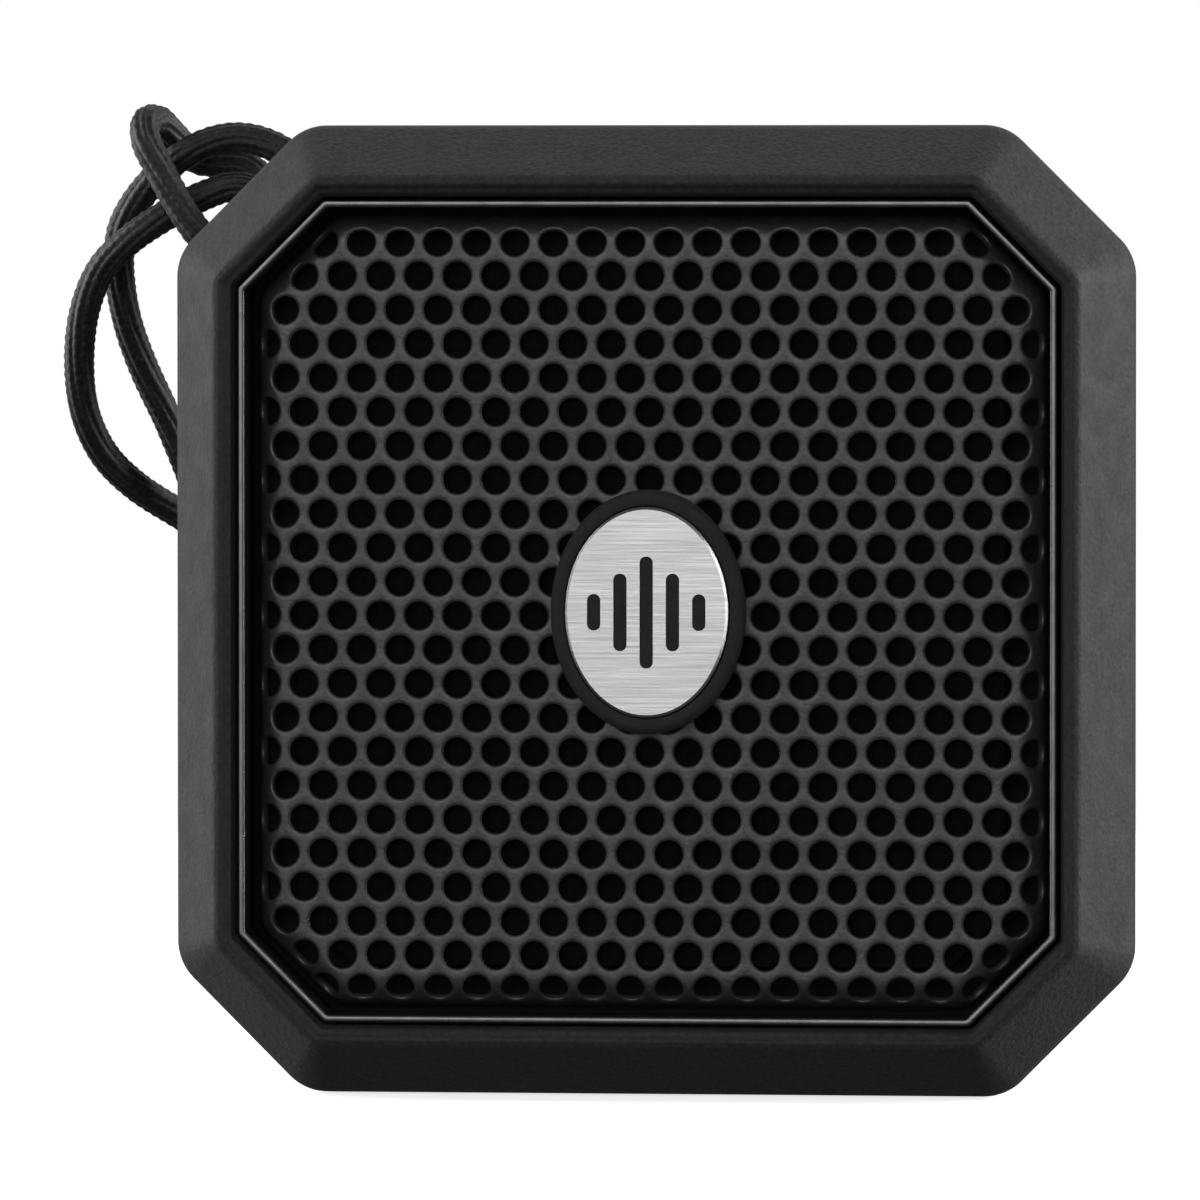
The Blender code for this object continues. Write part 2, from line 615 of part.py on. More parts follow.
def rear_shell(deck, corner):
    shell = loft("rear_shell", list(shell_sections()), capped=False)
    wall = shell.modifiers.new("wall", "SOLIDIFY")
    wall.thickness = WALL
    wall.offset = -1.0
    wall.use_even_offset = True
    for i, (x, z) in enumerate(CASE_SCREWS, 1):
        x, z = x * MM, MID_Z + z * MM
        radius, floor = COUNTERBORE
        post = rod(f"shell_post_{i}", POST_RADIUS, (x, POST_FRONT_Y, z), (x, BACK_Y - MM, z), 16)
        bore = rod(f"shell_bore_{i}", radius, (x, floor, z), (x, BACK_Y + 2 * MM, z), 16)
        way = rod(f"shell_way_{i}", SCREW_SHANK + GAP, (x, 0.0, z), (x, floor + MM, z), 10)
        join(shell, as_tool(post))
        cut(shell, as_tool(bore), as_tool(way))
    for i, x in enumerate((-26.0 * MM, 25.5 * MM), 1):
        shelf = box_between(f"board_shelf_{i}", (x - MM, 12 * MM, 76.4 * MM), (x + MM, 20.8 * MM, 77.7 * MM))
        join(shell, as_tool(shelf))
    pocket_walls(shell, corner)
    control_openings(shell, deck)
    port_openings(shell)
    finish(shell, RUBBER_BLACK, 0.75)


def pocket_walls(shell, corner):
    """The pocket at the top left cut corner that holds the cord anchor."""
    margin = 1.6 * MM
    low = (-ANCHOR_V - GAP, ANCHOR_Y[0] - GAP, ANCHOR_U[0] - GAP)
    high = (ANCHOR_V + GAP, ANCHOR_Y[1] + GAP, 60 * MM)
    walls = box_between("pocket_walls", [value - margin for value in low],
                        (high[0] + margin, BACK_Y - 1.5 * MM, 49.5 * MM))
    join(shell, as_tool(walls, corner))
    cut(shell, as_tool(box_between("pocket", low, high), corner))
    v, u = PIN_PLACE
    pin_way = rod("pin_way", PIN_RADIUS + GAP, (v, PIN_Y[0] - GAP, u), (v, BACK_Y + MM, u), 12)
    cut(shell, as_tool(pin_way, corner))


def control_openings(shell, deck):
    length, width, _ = PANEL_SIZE
    floor = -PANEL_SIZE[2] + PANEL_PROUD - GAP
    recess = box_between("panel_recess", (-length / 2 - GAP, -width / 2 - GAP, floor),
                         (length / 2 + GAP, width / 2 + GAP, 3 * MM))
    cut(shell, as_tool(recess, deck))
    for name, x in button_places():
        wide, deep = BUTTON_SIZE
        window = box("window_" + name, (wide + 2 * GAP, deep + 2 * GAP, 8 * MM), (x, 0.0, 0.0))
        cut(shell, as_tool(window, deck))
    led_way = rod("led_way", LED_RADIUS + GAP, (-BUTTON_STEP, 0, -4 * MM), (-BUTTON_STEP, 0, 2 * MM), 12)
    mic_way = rod("mic_way", MIC_HOLE, (0, 0, -4 * MM), (0, 0, 2 * MM), 10)
    cut(shell, as_tool(led_way, deck), as_tool(mic_way, deck))


def port_openings(shell):
    floor = BACK_Y - RECESS_DEPTH
    recess = box_between("flap_recess", (RECESS_X[0], floor, RECESS_Z[0]),
                         (RECESS_X[1], BACK_Y + MM, RECESS_Z[1]))
    thumb = rod("thumb_scoop", 3.0 * MM, (RECESS_X[1], BACK_Y - 1.2 * MM, 75.6 * MM),
                (RECESS_X[1], BACK_Y + MM, 75.6 * MM), 16)
    aux = rod("aux_way", AUX_HOLE + 0.1 * MM, (AUX_X, 18 * MM, aux_height()),
              (AUX_X, BACK_Y, aux_height()), 14)
    usb = box("usb_way", (8.4 * MM, 6 * MM, 3.4 * MM), (USB_X, 20 * MM, usb_height()))
    cut(shell, as_tool(recess), as_tool(thumb), as_tool(aux), as_tool(usb))


def housing_seal():
    profile = [(3.2 * MM, -10.4 * MM, 0.5), (3.2 * MM, -9.0 * MM, 0.5),
               (4.7 * MM, -9.0 * MM, 0.5), (4.7 * MM, -10.4 * MM, 0.5)]
    finish(ring("housing_seal", profile, steps=1), (0.35, 0.06, 0.04), 0.6)


def case_screws():
    for i, (x, z) in enumerate(CASE_SCREWS, 1):
        seat = -(COUNTERBORE[1] + GAP)
        profile = [
            (0.0, -SCREW_TIP_Y), (SCREW_SHANK * 0.5, -SCREW_TIP_Y), (SCREW_SHANK, -SCREW_TIP_Y - 1.5 * MM),
            (SCREW_SHANK, seat), (SCREW_HEAD, seat), (SCREW_HEAD, seat - 1.2 * MM),
            (SCREW_HEAD * 0.7, seat - 1.7 * MM), (0.0, seat - 1.7 * MM)]
        place = (x * MM, 0.0, MID_Z + z * MM)
        screw = turned(f"case_screw_{i}", profile, closed=False, steps=14, location=place)
        finish(screw, (0.08, 0.08, 0.085), 0.4, 1.0)


# ---- top controls ----------------------------------------------------------------------------------
def button_places():
    for i, name in enumerate(BUTTON_NAMES):
        yield name, (i - 1.5) * BUTTON_STEP


def control_panel(deck):
    length, width, thick = PANEL_SIZE
    panel = box("control_panel", (length, width, thick), (0.0, 0.0, PANEL_PROUD - thick / 2))
    for name, x in button_places():
        wide, deep = BUTTON_SIZE
        hole = box("panel_hole_" + name, (wide + 2 * GAP, deep + 2 * GAP, 4 * MM), (x, 0.0, 0.0))
        cut(panel, as_tool(hole, deck))
    led_hole = rod("panel_led", LED_RADIUS + GAP, (-BUTTON_STEP, 0, -3 * MM), (-BUTTON_STEP, 0, 3 * MM), 12)
    mic_hole = rod("panel_mic", MIC_HOLE, (0, 0, -3 * MM), (0, 0, 3 * MM), 10)
    cut(panel, as_tool(led_hole, deck), as_tool(mic_hole, deck))
    finish(panel, (0.018, 0.018, 0.02), 0.65, parent=deck)


def buttons(deck):
    """Each button's cap passes through the wall and is held by a flange under it."""
    wide, deep = BUTTON_SIZE
    flange_top = -WALL - GAP
    flange_low = flange_top - BUTTON_FLANGE[2]
    for name, x in button_places():
        low = flange_top - 0.4 * MM
        cap = box(name, (wide, deep, BUTTON_PROUD - low), (x, 0.0, (BUTTON_PROUD + low) / 2))
        round_edges = cap.modifiers.new("round", "BEVEL")
        round_edges.width = 0.5 * MM
        round_edges.segments = 1
        flange = box("flange_" + name, BUTTON_FLANGE, (x, 0.0, (flange_low + flange_top) / 2))
        plunger = rod("plunger_" + name, PLUNGER_RADIUS, (x, 0.0, flange_top - 0.2 * MM),
                      (x, 0.0, flange_low - PLUNGER_LENGTH), 12)
        join(cap, as_tool(flange, deck), as_tool(plunger, deck))
        finish(cap, (0.03, 0.03, 0.032), 0.7, parent=deck)


def status_led(deck):
    pipe = rod("status_led", LED_RADIUS, (-BUTTON_STEP, 0.0, -4.5 * MM),
               (-BUTTON_STEP, 0.0, PANEL_PROUD + 0.1 * MM), 12)
    finish(pipe, (0.75, 0.80, 0.85), 0.2, parent=deck)


# ---- board and its parts ------------------------------------------------------------------------------
def aux_height():
    return BOARD_Z[0] - GAP - AUX_SIZE[2] / 2


def usb_height():
    return BOARD_Z[0] - GAP - USB_SIZE[2] / 2


def electronics():
    board = box_between("main_board", *zip(BOARD_X, BOARD_Y, BOARD_Z))
    finish(board, BOARD_GREEN, 0.45)
    for name, x in button_places():
        low = BOARD_Z[1] + GAP
        body = box("switch_" + name[7:], SWITCH_SIZE, (x, DECK_Y, low + SWITCH_SIZE[2] / 2))
        radius, rise = SWITCH_STEM
        top = low + SWITCH_SIZE[2]
        stem = rod("stem_" + name, radius, (x, DECK_Y, top - MM), (x, DECK_Y, top + rise), 12)
        join(body, as_tool(stem))
        finish(body, (0.06, 0.06, 0.065), 0.5)
    under = BOARD_Z[0] - GAP
    module = box_between("bluetooth_module", (-24 * MM, 0, under - 1.8 * MM), (-8 * MM, 13 * MM, under))
    finish(module, STEEL, 0.35, 1.0)
    amplifier = box_between("amplifier_chip", (16 * MM, 4 * MM, under - 1.1 * MM), (21 * MM, 9 * MM, under))
    finish(amplifier, (0.015, 0.015, 0.016), 0.4)
    over = BOARD_Z[1] + GAP
    mic = box_between("microphone", (-1.9 * MM, 2.5 * MM, over), (1.9 * MM, 5.5 * MM, over + 1.1 * MM))
    finish(mic, BRASS, 0.3, 1.0)


def ports():
    aux = box("aux_jack", AUX_SIZE, (AUX_X, PORT_END_Y - AUX_SIZE[1] / 2, aux_height()))
    bore = rod("aux_bore", AUX_HOLE, (AUX_X, PORT_END_Y - 10 * MM, aux_height()),
               (AUX_X, PORT_END_Y + MM, aux_height()), 14)
    finish(cut(aux, as_tool(bore)), (0.02, 0.02, 0.02), 0.4)
    usb = box("usb_port", USB_SIZE, (USB_X, PORT_END_Y - USB_SIZE[1] / 2, usb_height()))
    wide, deep, tall = USB_MOUTH
    mouth = box("usb_mouth", (wide, 2 * deep, tall), (USB_X, PORT_END_Y, usb_height()))
    tongue_y = PORT_END_Y - deep + USB_TONGUE[1] / 2 - GAP
    tongue = box("usb_tongue", USB_TONGUE, (USB_X, tongue_y, usb_height()))
    cut(usb, as_tool(mouth))
    join(usb, as_tool(tongue))
    finish(usb, STEEL, 0.3, 1.0)


def power_cell():
    x, y, z = CELL_CENTRE
    half = CELL_LENGTH / 2
    cell = rod("battery_cell", CELL_RADIUS, (-half, y, z), (half, y, z), 28)
    finish(cell, (0.05, 0.16, 0.30), 0.4)
    end, side = half + 0.5 * MM, CELL_RADIUS + CRADLE_WALL
    cradle = box_between("battery_cradle", (-end, y - side, WALL + GAP), (end, y + side, CRADLE_TOP))
    trough = rod("cradle_trough", CELL_RADIUS + GAP, (-2 * half, y, z), (2 * half, y, z), 28)
    finish(cut(cradle, as_tool(trough)), PLASTIC_BLACK, 0.6)


def lead(name, route, colour):
    """A thin wire along a POLY curve."""
    tube = tube_along(name, smooth_curve(in_mm(route), 3), 0.7 * MM)
    finish(tube, colour, 0.5)


def leads():
    lead("speaker_lead", ((20, -3, 63.5), (20.5, 1, 67), (21.5, 7, 72), (22.5, 12, 77.2)), (0.5, 0.02, 0.02))
    lead("battery_lead", (
        (25.9, 4, 11.4), (26.2, 9, 12.5), (24.5, 13, 18), (23.5, 15, 30), (23.5, 15.5, 45),
        (22, 15.5, 58), (19.5, 14, 68), (18.5, 13, 77.2)), (0.5, 0.02, 0.02))


# ---- port flap ---------------------------------------------------------------------------------------
def port_flap():
    """The flap turns about its hinge edge, which runs upright at the back face."""
    inner = BACK_Y - FLAP_THICK
    tab = box_between("flap_anchor", (RECESS_X[0] + GAP, inner, RECESS_Z[0] + GAP),
                      (HINGE_X - GAP / 2, BACK_Y, RECESS_Z[1] - GAP))
    finish(tab, RUBBER_BLACK, 0.8)
    hinge = empty("flap_hinge", (HINGE_X, BACK_Y, sum(RECESS_Z) / 2))
    half = (RECESS_Z[1] - RECESS_Z[0]) / 2 - GAP
    reach = RECESS_X[1] - GAP - HINGE_X
    flap = box_between("port_flap", (GAP / 2, -FLAP_THICK, -half), (reach, 0.0, half))
    aux_rise = aux_height() - hinge.location.z
    usb_rise = usb_height() - hinge.location.z
    aux_plug = rod("aux_plug", PLUG_RADIUS, (AUX_X - HINGE_X, -FLAP_THICK - PLUG_LENGTH, aux_rise),
                   (AUX_X - HINGE_X, -0.5 * MM, aux_rise), 12)
    usb_plug = box("usb_plug", USB_PLUG, (USB_X - HINGE_X, -FLAP_THICK - 0.2 * MM, usb_rise))
    join(flap, as_tool(aux_plug, hinge), as_tool(usb_plug, hinge))
    finish(flap, RUBBER_BLACK, 0.8, parent=hinge)


# ---- carrying loop -------------------------------------------------------------------------------------
def smooth_curve(points, steps):
    """A Catmull-Rom curve through the points, timed by the root of each chord."""
    path = [Vector(point) for point in points]
    path = [2 * path[0] - path[1]] + path + [2 * path[-1] - path[-2]]
    curve = []
    for i in range(1, len(path) - 2):
        a, b, c, d = path[i - 1:i + 3]
        t0 = 0.0
        t1 = t0 + sqrt((b - a).length)
        t2 = t1 + sqrt((c - b).length)
        t3 = t2 + sqrt((d - c).length)
        for step in range(steps):
            t = t1 + (t2 - t1) * step / steps
            ab = a * ((t1 - t) / (t1 - t0)) + b * ((t - t0) / (t1 - t0))
            bc = b * ((t2 - t) / (t2 - t1)) + c * ((t - t1) / (t2 - t1))
            cd = c * ((t3 - t) / (t3 - t2)) + d * ((t - t2) / (t3 - t2))
            abc = ab * ((t2 - t) / (t2 - t0)) + bc * ((t - t0) / (t2 - t0))
            bcd = bc * ((t3 - t) / (t3 - t1)) + cd * ((t - t1) / (t3 - t1))
            curve.append(abc * ((t2 - t) / (t2 - t1)) + bcd * ((t - t1) / (t2 - t1)))
    curve.append(path[-2])
    return curve


def thinned(curve, most_turn, most_length):
    """Keep a point each time the curve has bent or run far enough."""
    kept = [curve[0]]
    turn = length = 0.0
    for before, here, after in zip(curve, curve[1:], curve[2:]):
        turn += (here - before).angle(after - here)
        length += (here - before).length
        if turn > most_turn or length > most_length:
            kept.append(here)
            turn = length = 0.0
    kept.append(curve[-1])
    return kept


def tube_along(name, points, radius):
    curve = bpy.data.curves.new(name, "CURVE")
    curve.dimensions = "3D"
    curve.bevel_depth = radius
    curve.bevel_resolution = 2
    curve.use_fill_caps = True
    spline = curve.splines.new("POLY")
    spline.points.add(len(points) - 1)
    for point, place in zip(spline.points, points):
        point.co = (*place, 1.0)
    return as_mesh(bpy.data.objects.new(name, curve))


def carrying_loop(corner):
    low = (-ANCHOR_V, ANCHOR_Y[0], ANCHOR_U[0])
    high = (ANCHOR_V, ANCHOR_Y[1], ANCHOR_U[1])
    anchor = box_between("lanyard_anchor", low, high)
    for i, (v, y) in enumerate(CORD_HOLES, 1):
        hole = rod(f"cord_hole_{i}", CORD_HOLE_RADIUS, (v, y, CORD_HOLE_FLOOR), (v, y, 55 * MM), 14)
        cut(anchor, as_tool(hole, corner))
    v, u = PIN_PLACE
    way = rod("anchor_pin_way", PIN_RADIUS + GAP, (v, 0, u), (v, 30 * MM, u), 12)
    cut(anchor, as_tool(way, corner))
    finish(anchor, PLASTIC_BLACK, 0.5, parent=corner)
    pin = rod("lanyard_pin", PIN_RADIUS, (v, PIN_Y[0], u), (v, PIN_Y[1], u), 14)
    finish(pin, STEEL, 0.3, 1.0, parent=corner)
    route = smooth_curve(in_mm(CORD_ROUTE), CURVE_STEPS)
    cord = tube_along("lanyard_cord", thinned(route, CORD_TURN, CORD_REACH), CORD_RADIUS)
    finish(cord, (0.015, 0.016, 0.017), 0.85)


def build():
    clear_scene()
    deck = empty("top_deck", (0.0, DECK_Y, HEIGHT - draft_at(DECK_Y)), (-DRAFT, 0.0, 0.0))
    corner = empty("cut_corner", (0.0, 0.0, MID_Z), (0.0, -pi / 4, 0.0))
    front_bezel()
    trim_ring()
    grille()
    acoustic_mesh()
    badge()
    baffle()
    driver_gasket()
    driver_basket()
    driver_screws()
    moving_cone()
    suspension()
    motor()
    housing_seal()
    rear_shell(deck, corner)
    case_screws()
    control_panel(deck)
    buttons(deck)
    status_led(deck)
    electronics()
    ports()
    power_cell()
    leads()
    port_flap()
    carrying_loop(corner)


build()
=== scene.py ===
"""The looks of the shower speaker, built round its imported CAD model.

Every visible piece is remade here at full detail on the CAD node that it replaces:
the rubber housing, the trim line, the perforated sheet with all its holes, the badge,
the braided carrying cord, the top controls and the port flap. Metres, +Z up; the
perforated front faces -Y.
"""
import json
from math import atan2, ceil, cos, pi, radians, sin, sqrt, tan

import bmesh
import bpy
import numpy as np
from mathutils import Matrix, Vector
from mathutils.geometry import delaunay_2d_cdt


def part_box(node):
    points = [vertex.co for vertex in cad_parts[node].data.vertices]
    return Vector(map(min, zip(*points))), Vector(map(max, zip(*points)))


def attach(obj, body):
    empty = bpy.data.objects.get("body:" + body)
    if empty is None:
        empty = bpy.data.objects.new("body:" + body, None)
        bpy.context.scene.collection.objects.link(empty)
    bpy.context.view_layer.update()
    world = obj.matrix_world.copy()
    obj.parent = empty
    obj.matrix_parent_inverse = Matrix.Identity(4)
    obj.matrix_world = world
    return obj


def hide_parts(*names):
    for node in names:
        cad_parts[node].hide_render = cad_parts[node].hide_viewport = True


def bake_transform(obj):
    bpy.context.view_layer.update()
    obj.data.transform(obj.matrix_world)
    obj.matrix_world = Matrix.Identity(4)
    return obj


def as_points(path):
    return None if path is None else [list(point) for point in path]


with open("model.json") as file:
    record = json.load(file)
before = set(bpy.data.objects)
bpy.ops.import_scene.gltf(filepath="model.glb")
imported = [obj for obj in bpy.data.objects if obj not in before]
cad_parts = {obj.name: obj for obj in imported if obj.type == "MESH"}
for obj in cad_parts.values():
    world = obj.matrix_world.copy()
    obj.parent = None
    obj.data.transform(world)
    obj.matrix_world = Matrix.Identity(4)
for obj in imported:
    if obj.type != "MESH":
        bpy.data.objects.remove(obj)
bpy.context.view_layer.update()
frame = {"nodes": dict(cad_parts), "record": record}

MM = 0.001

# ---- housing, as the CAD has it ----
BEZEL_LOW, BEZEL_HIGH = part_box("front_bezel")
SHELL_LOW, SHELL_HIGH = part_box("rear_shell")
WIDTH = BEZEL_HIGH[0] - BEZEL_LOW[0]
HEIGHT = BEZEL_HIGH[2]
MID_Z = HEIGHT / 2
EXTRA_HEIGHT = (HEIGHT - WIDTH) / 2
BACK_Y = SHELL_HIGH[1]
WIDEST_Y = -14.0 * MM
CORNER_LEG = 12.1 * MM
CORNER_RADIUS = 5.0 * MM
CORNER_SHARPENS = 145.0              # loss of radius with the square of the inset, in 1 / m
DRAFT = radians(7.0)
WALL = 2.2 * MM
BACK_EDGE = 3.0 * MM
GAP = 0.3 * MM
ARC_STEPS = 8
CLEAR_OF_FACE = 0.003 * MM           # a cutter's flare ends this far out of its face
CROWN_REACH = 2.6 * MM               # how far in a crowned top's rounding is drawn

# ---- camera ----
AIM = Vector((0.0, WIDEST_Y, MID_Z))
YAW = radians(6.5)
ELEVATION = radians(1.8)
DISTANCE = 1.2
LENS = 386.5
SHIFT = (-0.0455, 0.0085)

# ---- light: name, place, width, height and power of each soft box ----
WHITE = (1.0, 1.0, 1.0, 1.0)
AMBIENT_COLOUR = (0.92, 0.96, 1.0, 1.0)
AMBIENT = 0.16
AMBIENT_BELOW = 0.09
FADE_HEIGHT = 0.25                   # sine of the angle off the horizon where the fade ends
FLOOR_GLOW = 0.75
FLOOR_RADIUS = 0.5
SOFT_BOXES = (
    ("left_box", (-0.85, 0.12, 0.19), 0.5, 0.9, 8.7),
    ("right_box", (0.85, 0.12, 0.19), 0.5, 0.9, 12.0),
    ("top_box", (0.0, 0.62, 0.75), 0.9, 0.5, 0.9),
    ("front_box", (-0.25, -1.45, 0.45), 1.6, 1.0, 7.0),
)

# ---- carrying cord ----
CORD_DIAMETER = 3.0 * MM
CORD_RIBS = 10
CORD_TWIST = 60.0                   # turn of the ribs, in radians a metre
CORD_STITCH = 0.9 * MM
CORD_RELIEF = 0.22 * MM
CORD_RING = 0.225 * MM
CORD_SIDES = 60
CORD_CURVE_STEPS = 24
CORD_PATH_STEP = 3
CORD_ROUTE = (
    (-32.2, 11.0, 81.9), (-34.5, 11.0, 84.3), (-36.3, 11.0, 86.2), (-38.4, 11.1, 88.0),
    (-40.9, 11.4, 89.1), (-43.5, 11.8, 89.4), (-46.2, 12.1, 88.8), (-48.5, 12.5, 87.6),
    (-50.4, 12.9, 86.2), (-52.0, 13.4, 84.6), (-53.5, 14.1, 82.7), (-54.7, 15.3, 80.5),
    (-55.2, 16.7, 77.9), (-55.2, 18.0, 74.9), (-54.7, 19.4, 71.4), (-53.6, 21.0, 67.6),
    (-51.3, 23.2, 61.9), (-48.8, 24.6, 55.2), (-46.4, 25.2, 46.7), (-44.7, 25.6, 36.7),
    (-43.7, 26.2, 26.2), (-43.4, 27.4, 15.7), (-43.2, 29.8, 7.6), (-42.0, 33.4, 2.9),
    (-38.3, 37.6, 1.7), (-33.0, 39.4, 1.7), (-27.8, 37.8, 1.8), (-24.7, 34.4, 4.2),
    (-23.6, 32.2, 10.5), (-24.0, 30.9, 19.2), (-26.6, 30.2, 28.5), (-31.4, 29.7, 36.9),
    (-38.0, 29.6, 44.0), (-45.2, 29.1, 49.4), (-51.2, 27.4, 53.2), (-54.9, 24.8, 55.9),
    (-57.4, 21.8, 58.9), (-58.8, 18.8, 62.9), (-59.0, 16.2, 67.7), (-58.1, 14.0, 72.9),
    (-56.2, 12.4, 76.9), (-53.5, 11.3, 79.5), (-50.3, 11.2, 81.7), (-46.9, 12.0, 83.6),
    (-43.5, 12.2, 84.7), (-41.2, 12.0, 84.2), (-40.3, 11.4, 82.8), (-40.6, 10.6, 81.2),
    (-42.2, 9.6, 79.6), (-44.0, 8.9, 79.0), (-45.6, 8.5, 79.6), (-47.0, 8.3, 81.3),
    (-48.4, 8.3, 83.5), (-50.0, 8.5, 86.4), (-51.4, 9.1, 89.1), (-51.6, 10.9, 90.9),
    (-50.8, 13.4, 91.0), (-49.5, 15.3, 89.4), (-47.6, 16.3, 87.4), (-45.1, 16.5, 87.0),
    (-42.7, 16.2, 86.6), (-40.9, 15.8, 84.9), (-38.9, 15.5, 80.9), (-36.2, 15.5, 77.9),
)

# ---- grille ----
GRILLE_LOW, GRILLE_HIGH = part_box("grille")
SHEET_FRONT_Y = GRILLE_LOW[1]
SHEET_THICK = 0.8 * MM
SHEET_ROLL = 2.8 * MM
SHEET_INSET = WIDTH / 2 - GRILLE_HIGH[0]
HOLE_PITCH = 3.6 * MM
HOLE_RADIUS = 1.3 * MM
ROW_HEIGHT = 3.16 * MM
ROW_DROP = 0.45 * MM                 # the rows of holes sit a little low in the sheet
HOLE_ROWS = 11
HOLE_COLUMNS = 11
HOLE_REACH = 36.5 * MM
HOLE_LIMIT = 66.0 * MM              # |x| + |z| of the outermost holes, on the flat sheet
RIM_WIDTH = 0.34 * MM
RIM_DEPTH = 0.20 * MM
HOLE_SIDES = 28
LIP_STEPS = 4
PLAN_SPACING = 0.9 * MM             # between the points round the flat sheet's edge
PLAN_CLEARANCE = 0.15 * MM          # from those points to the lip of a hole
BRIGHT_BAND = 0.18                   # depth of the trim ring's cut edge, in millimetres

# ---- badge ----
BADGE_HALF = (9.05 * MM, 11.35 * MM)
BADGE_EDGE = 0.7 * MM
BADGE_WELL = ((0.30, 0.0), (0.18, 0.05), (0.15, 0.25), (0.15, 0.8))   # gap and depth, in mm
COVERED_SHARE = 0.62                 # share of the badge's area that has no holes under it
FACE_HALF = (7.6 * MM, 9.75 * MM)
FACE_BEVEL = 0.22 * MM
BAR_HALVES = (1.7, 3.6, 5.2, 3.6, 1.7)
BAR_STEP = 2.45 * MM

# ---- top deck ----
DECK_Y = 4.0 * MM
DECK_Z = HEIGHT - (DECK_Y - WIDEST_Y) * tan(DRAFT)
DECK = Matrix.Translation((0.0, DECK_Y, DECK_Z)) @ Matrix.Rotation(-DRAFT, 4, "X")
BUTTON_KEYS = ("power", "minus", "play", "plus")
BUTTON_STEP = 14.0 * MM
BUTTON_HALF = (5.0 * MM, 4.2 * MM)
BUTTON_CORNER = 1.4 * MM
BUTTON_PROUD = 0.9 * MM
MARK_RADIUS = 0.24 * MM
PANEL_HALF = (30.0 * MM, 7.2 * MM)
PANEL_CORNER = 1.2 * MM
PANEL_TOP = 0.2 * MM
PANEL_THICK = 1.0 * MM
LED_X = -14.0 * MM
LED_RADIUS = 0.7 * MM
MIC_HOLE = 0.6 * MM
DECK_CUT = (-4 * MM, 2 * MM)        # from under the deck to over it

# ---- case screws, as (x, z) round the housing's middle; blades as half sides and y, in mm ----
CASE_SCREWS = [(x * MM, z * MM)
               for x, z in ((-27.5, 27.5), (27.5, 27.5), (-30.0, -26.0), (30.0, -26.0))]
CROSS_BLADES = (((0.22, 0.9, 0.8), (0.34, 1.35, 1.9)), ((0.9, 0.22, 0.8), (1.35, 0.34, 1.9)))
COUNTERBORE = (2.8 * MM, 10.0 * MM)
POST_RADIUS = 3.4 * MM
POST_FRONT_Y = 6.0 * MM
SCREW_WAY = 1.5 * MM
SCREW_HEAD = 2.2 * MM

# ---- port flap ----
FLAP_LOW, FLAP_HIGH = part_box("port_flap")
ROOT_LOW, ROOT_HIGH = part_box("flap_anchor")
FLAP_THICK = 1.2 * MM
RECESS_X = (-14.0 * MM, 18.9 * MM)
RECESS_Z = (69.6 * MM, 81.6 * MM)
RECESS_FLOOR = BACK_Y - 1.5 * MM
THUMB_RADIUS = 3.0 * MM
THUMB_DEPTH = 1.2 * MM
AUX_WAY = (-1.7 * MM, 75.1 * MM, 1.9 * MM)            # x, z and radius
USB_WAY = (9.5 * MM, 76.4 * MM, 4.2 * MM, 1.7 * MM)   # x, z and half sides
WEB_OVERLAP = 0.8 * MM
WEB_STEPS = 24                       # pieces that the web is cut in

# ---- cord anchor, in the cut corner's frame: along it, back, and out from the middle ----
CORNER = Matrix.Translation((0.0, 0.0, MID_Z)) @ Matrix.Rotation(-pi / 4, 4, "Y")
CORNER_FACE = (WIDTH + EXTRA_HEIGHT - CORNER_LEG) / sqrt(2)
ANCHOR_HALF = 6.5 * MM
ANCHOR_Y = (8.3 * MM, 18.2 * MM)
ANCHOR_U = (45.4 * MM, 50.9 * MM)
POCKET_LOW = (-ANCHOR_HALF - GAP, ANCHOR_Y[0] - GAP, ANCHOR_U[0] - GAP)
POCKET_HIGH = (ANCHOR_HALF + GAP, ANCHOR_Y[1] + GAP)
CORD_HOLES = ((3.2 * MM, 11.0 * MM), (-2.5 * MM, 15.5 * MM))
CORD_HOLE_FLOOR = 48.4 * MM
CORD_HOLE_RADIUS = 1.8 * MM
PIN_PLACE = (0.4 * MM, 46.2 * MM)
PIN_RADIUS = 0.9 * MM
PIN_LOW_Y, PIN_HIGH_Y = 4.5 * MM, 22.2 * MM
PIN_CHAMFER = 0.2 * MM


# ---- plane geometry ----
def rounded(corners, radii, steps):
    """Replace each corner of a closed outline by an arc of its own radius."""
    points = []
    count = len(corners)
    for i, (corner, radius) in enumerate(zip(corners, radii)):
        here = Vector(corner)
        before = (Vector(corners[i - 1]) - here).normalized()
        after = (Vector(corners[(i + 1) % count]) - here).normalized()
        half_angle = before.angle(after) / 2
        centre = here + (before + after).normalized() * (radius / sin(half_angle))
        reach = radius / tan(half_angle)
        first = here + before * reach - centre
        last = here + after * reach - centre
        sweep = atan2(first.x * last.y - first.y * last.x, first.dot(last))
        for step in range(steps + 1):
            turn = sweep * step / steps
            points.append((centre.x + first.x * cos(turn) - first.y * sin(turn),
                           centre.y + first.x * sin(turn) + first.y * cos(turn)))
    return points


def housing_corners(inset, tall=0.0, draft=0.0):
    """The eight corners of the housing's outline, as (x, z) round its middle."""
    side = WIDTH / 2 - inset - draft
    top = WIDTH / 2 + EXTRA_HEIGHT * tall - inset - draft
    bottom = WIDTH / 2 + EXTRA_HEIGHT * tall - inset
    reach = WIDTH + EXTRA_HEIGHT * tall - CORNER_LEG - (inset + draft) * sqrt(2)
    return [
        (side, reach - side), (reach - top, top), (top - reach, top), (-side, reach - side),
        (-side, side - reach), (bottom - reach, -bottom), (reach - bottom, -bottom),
        (side, side - reach)]


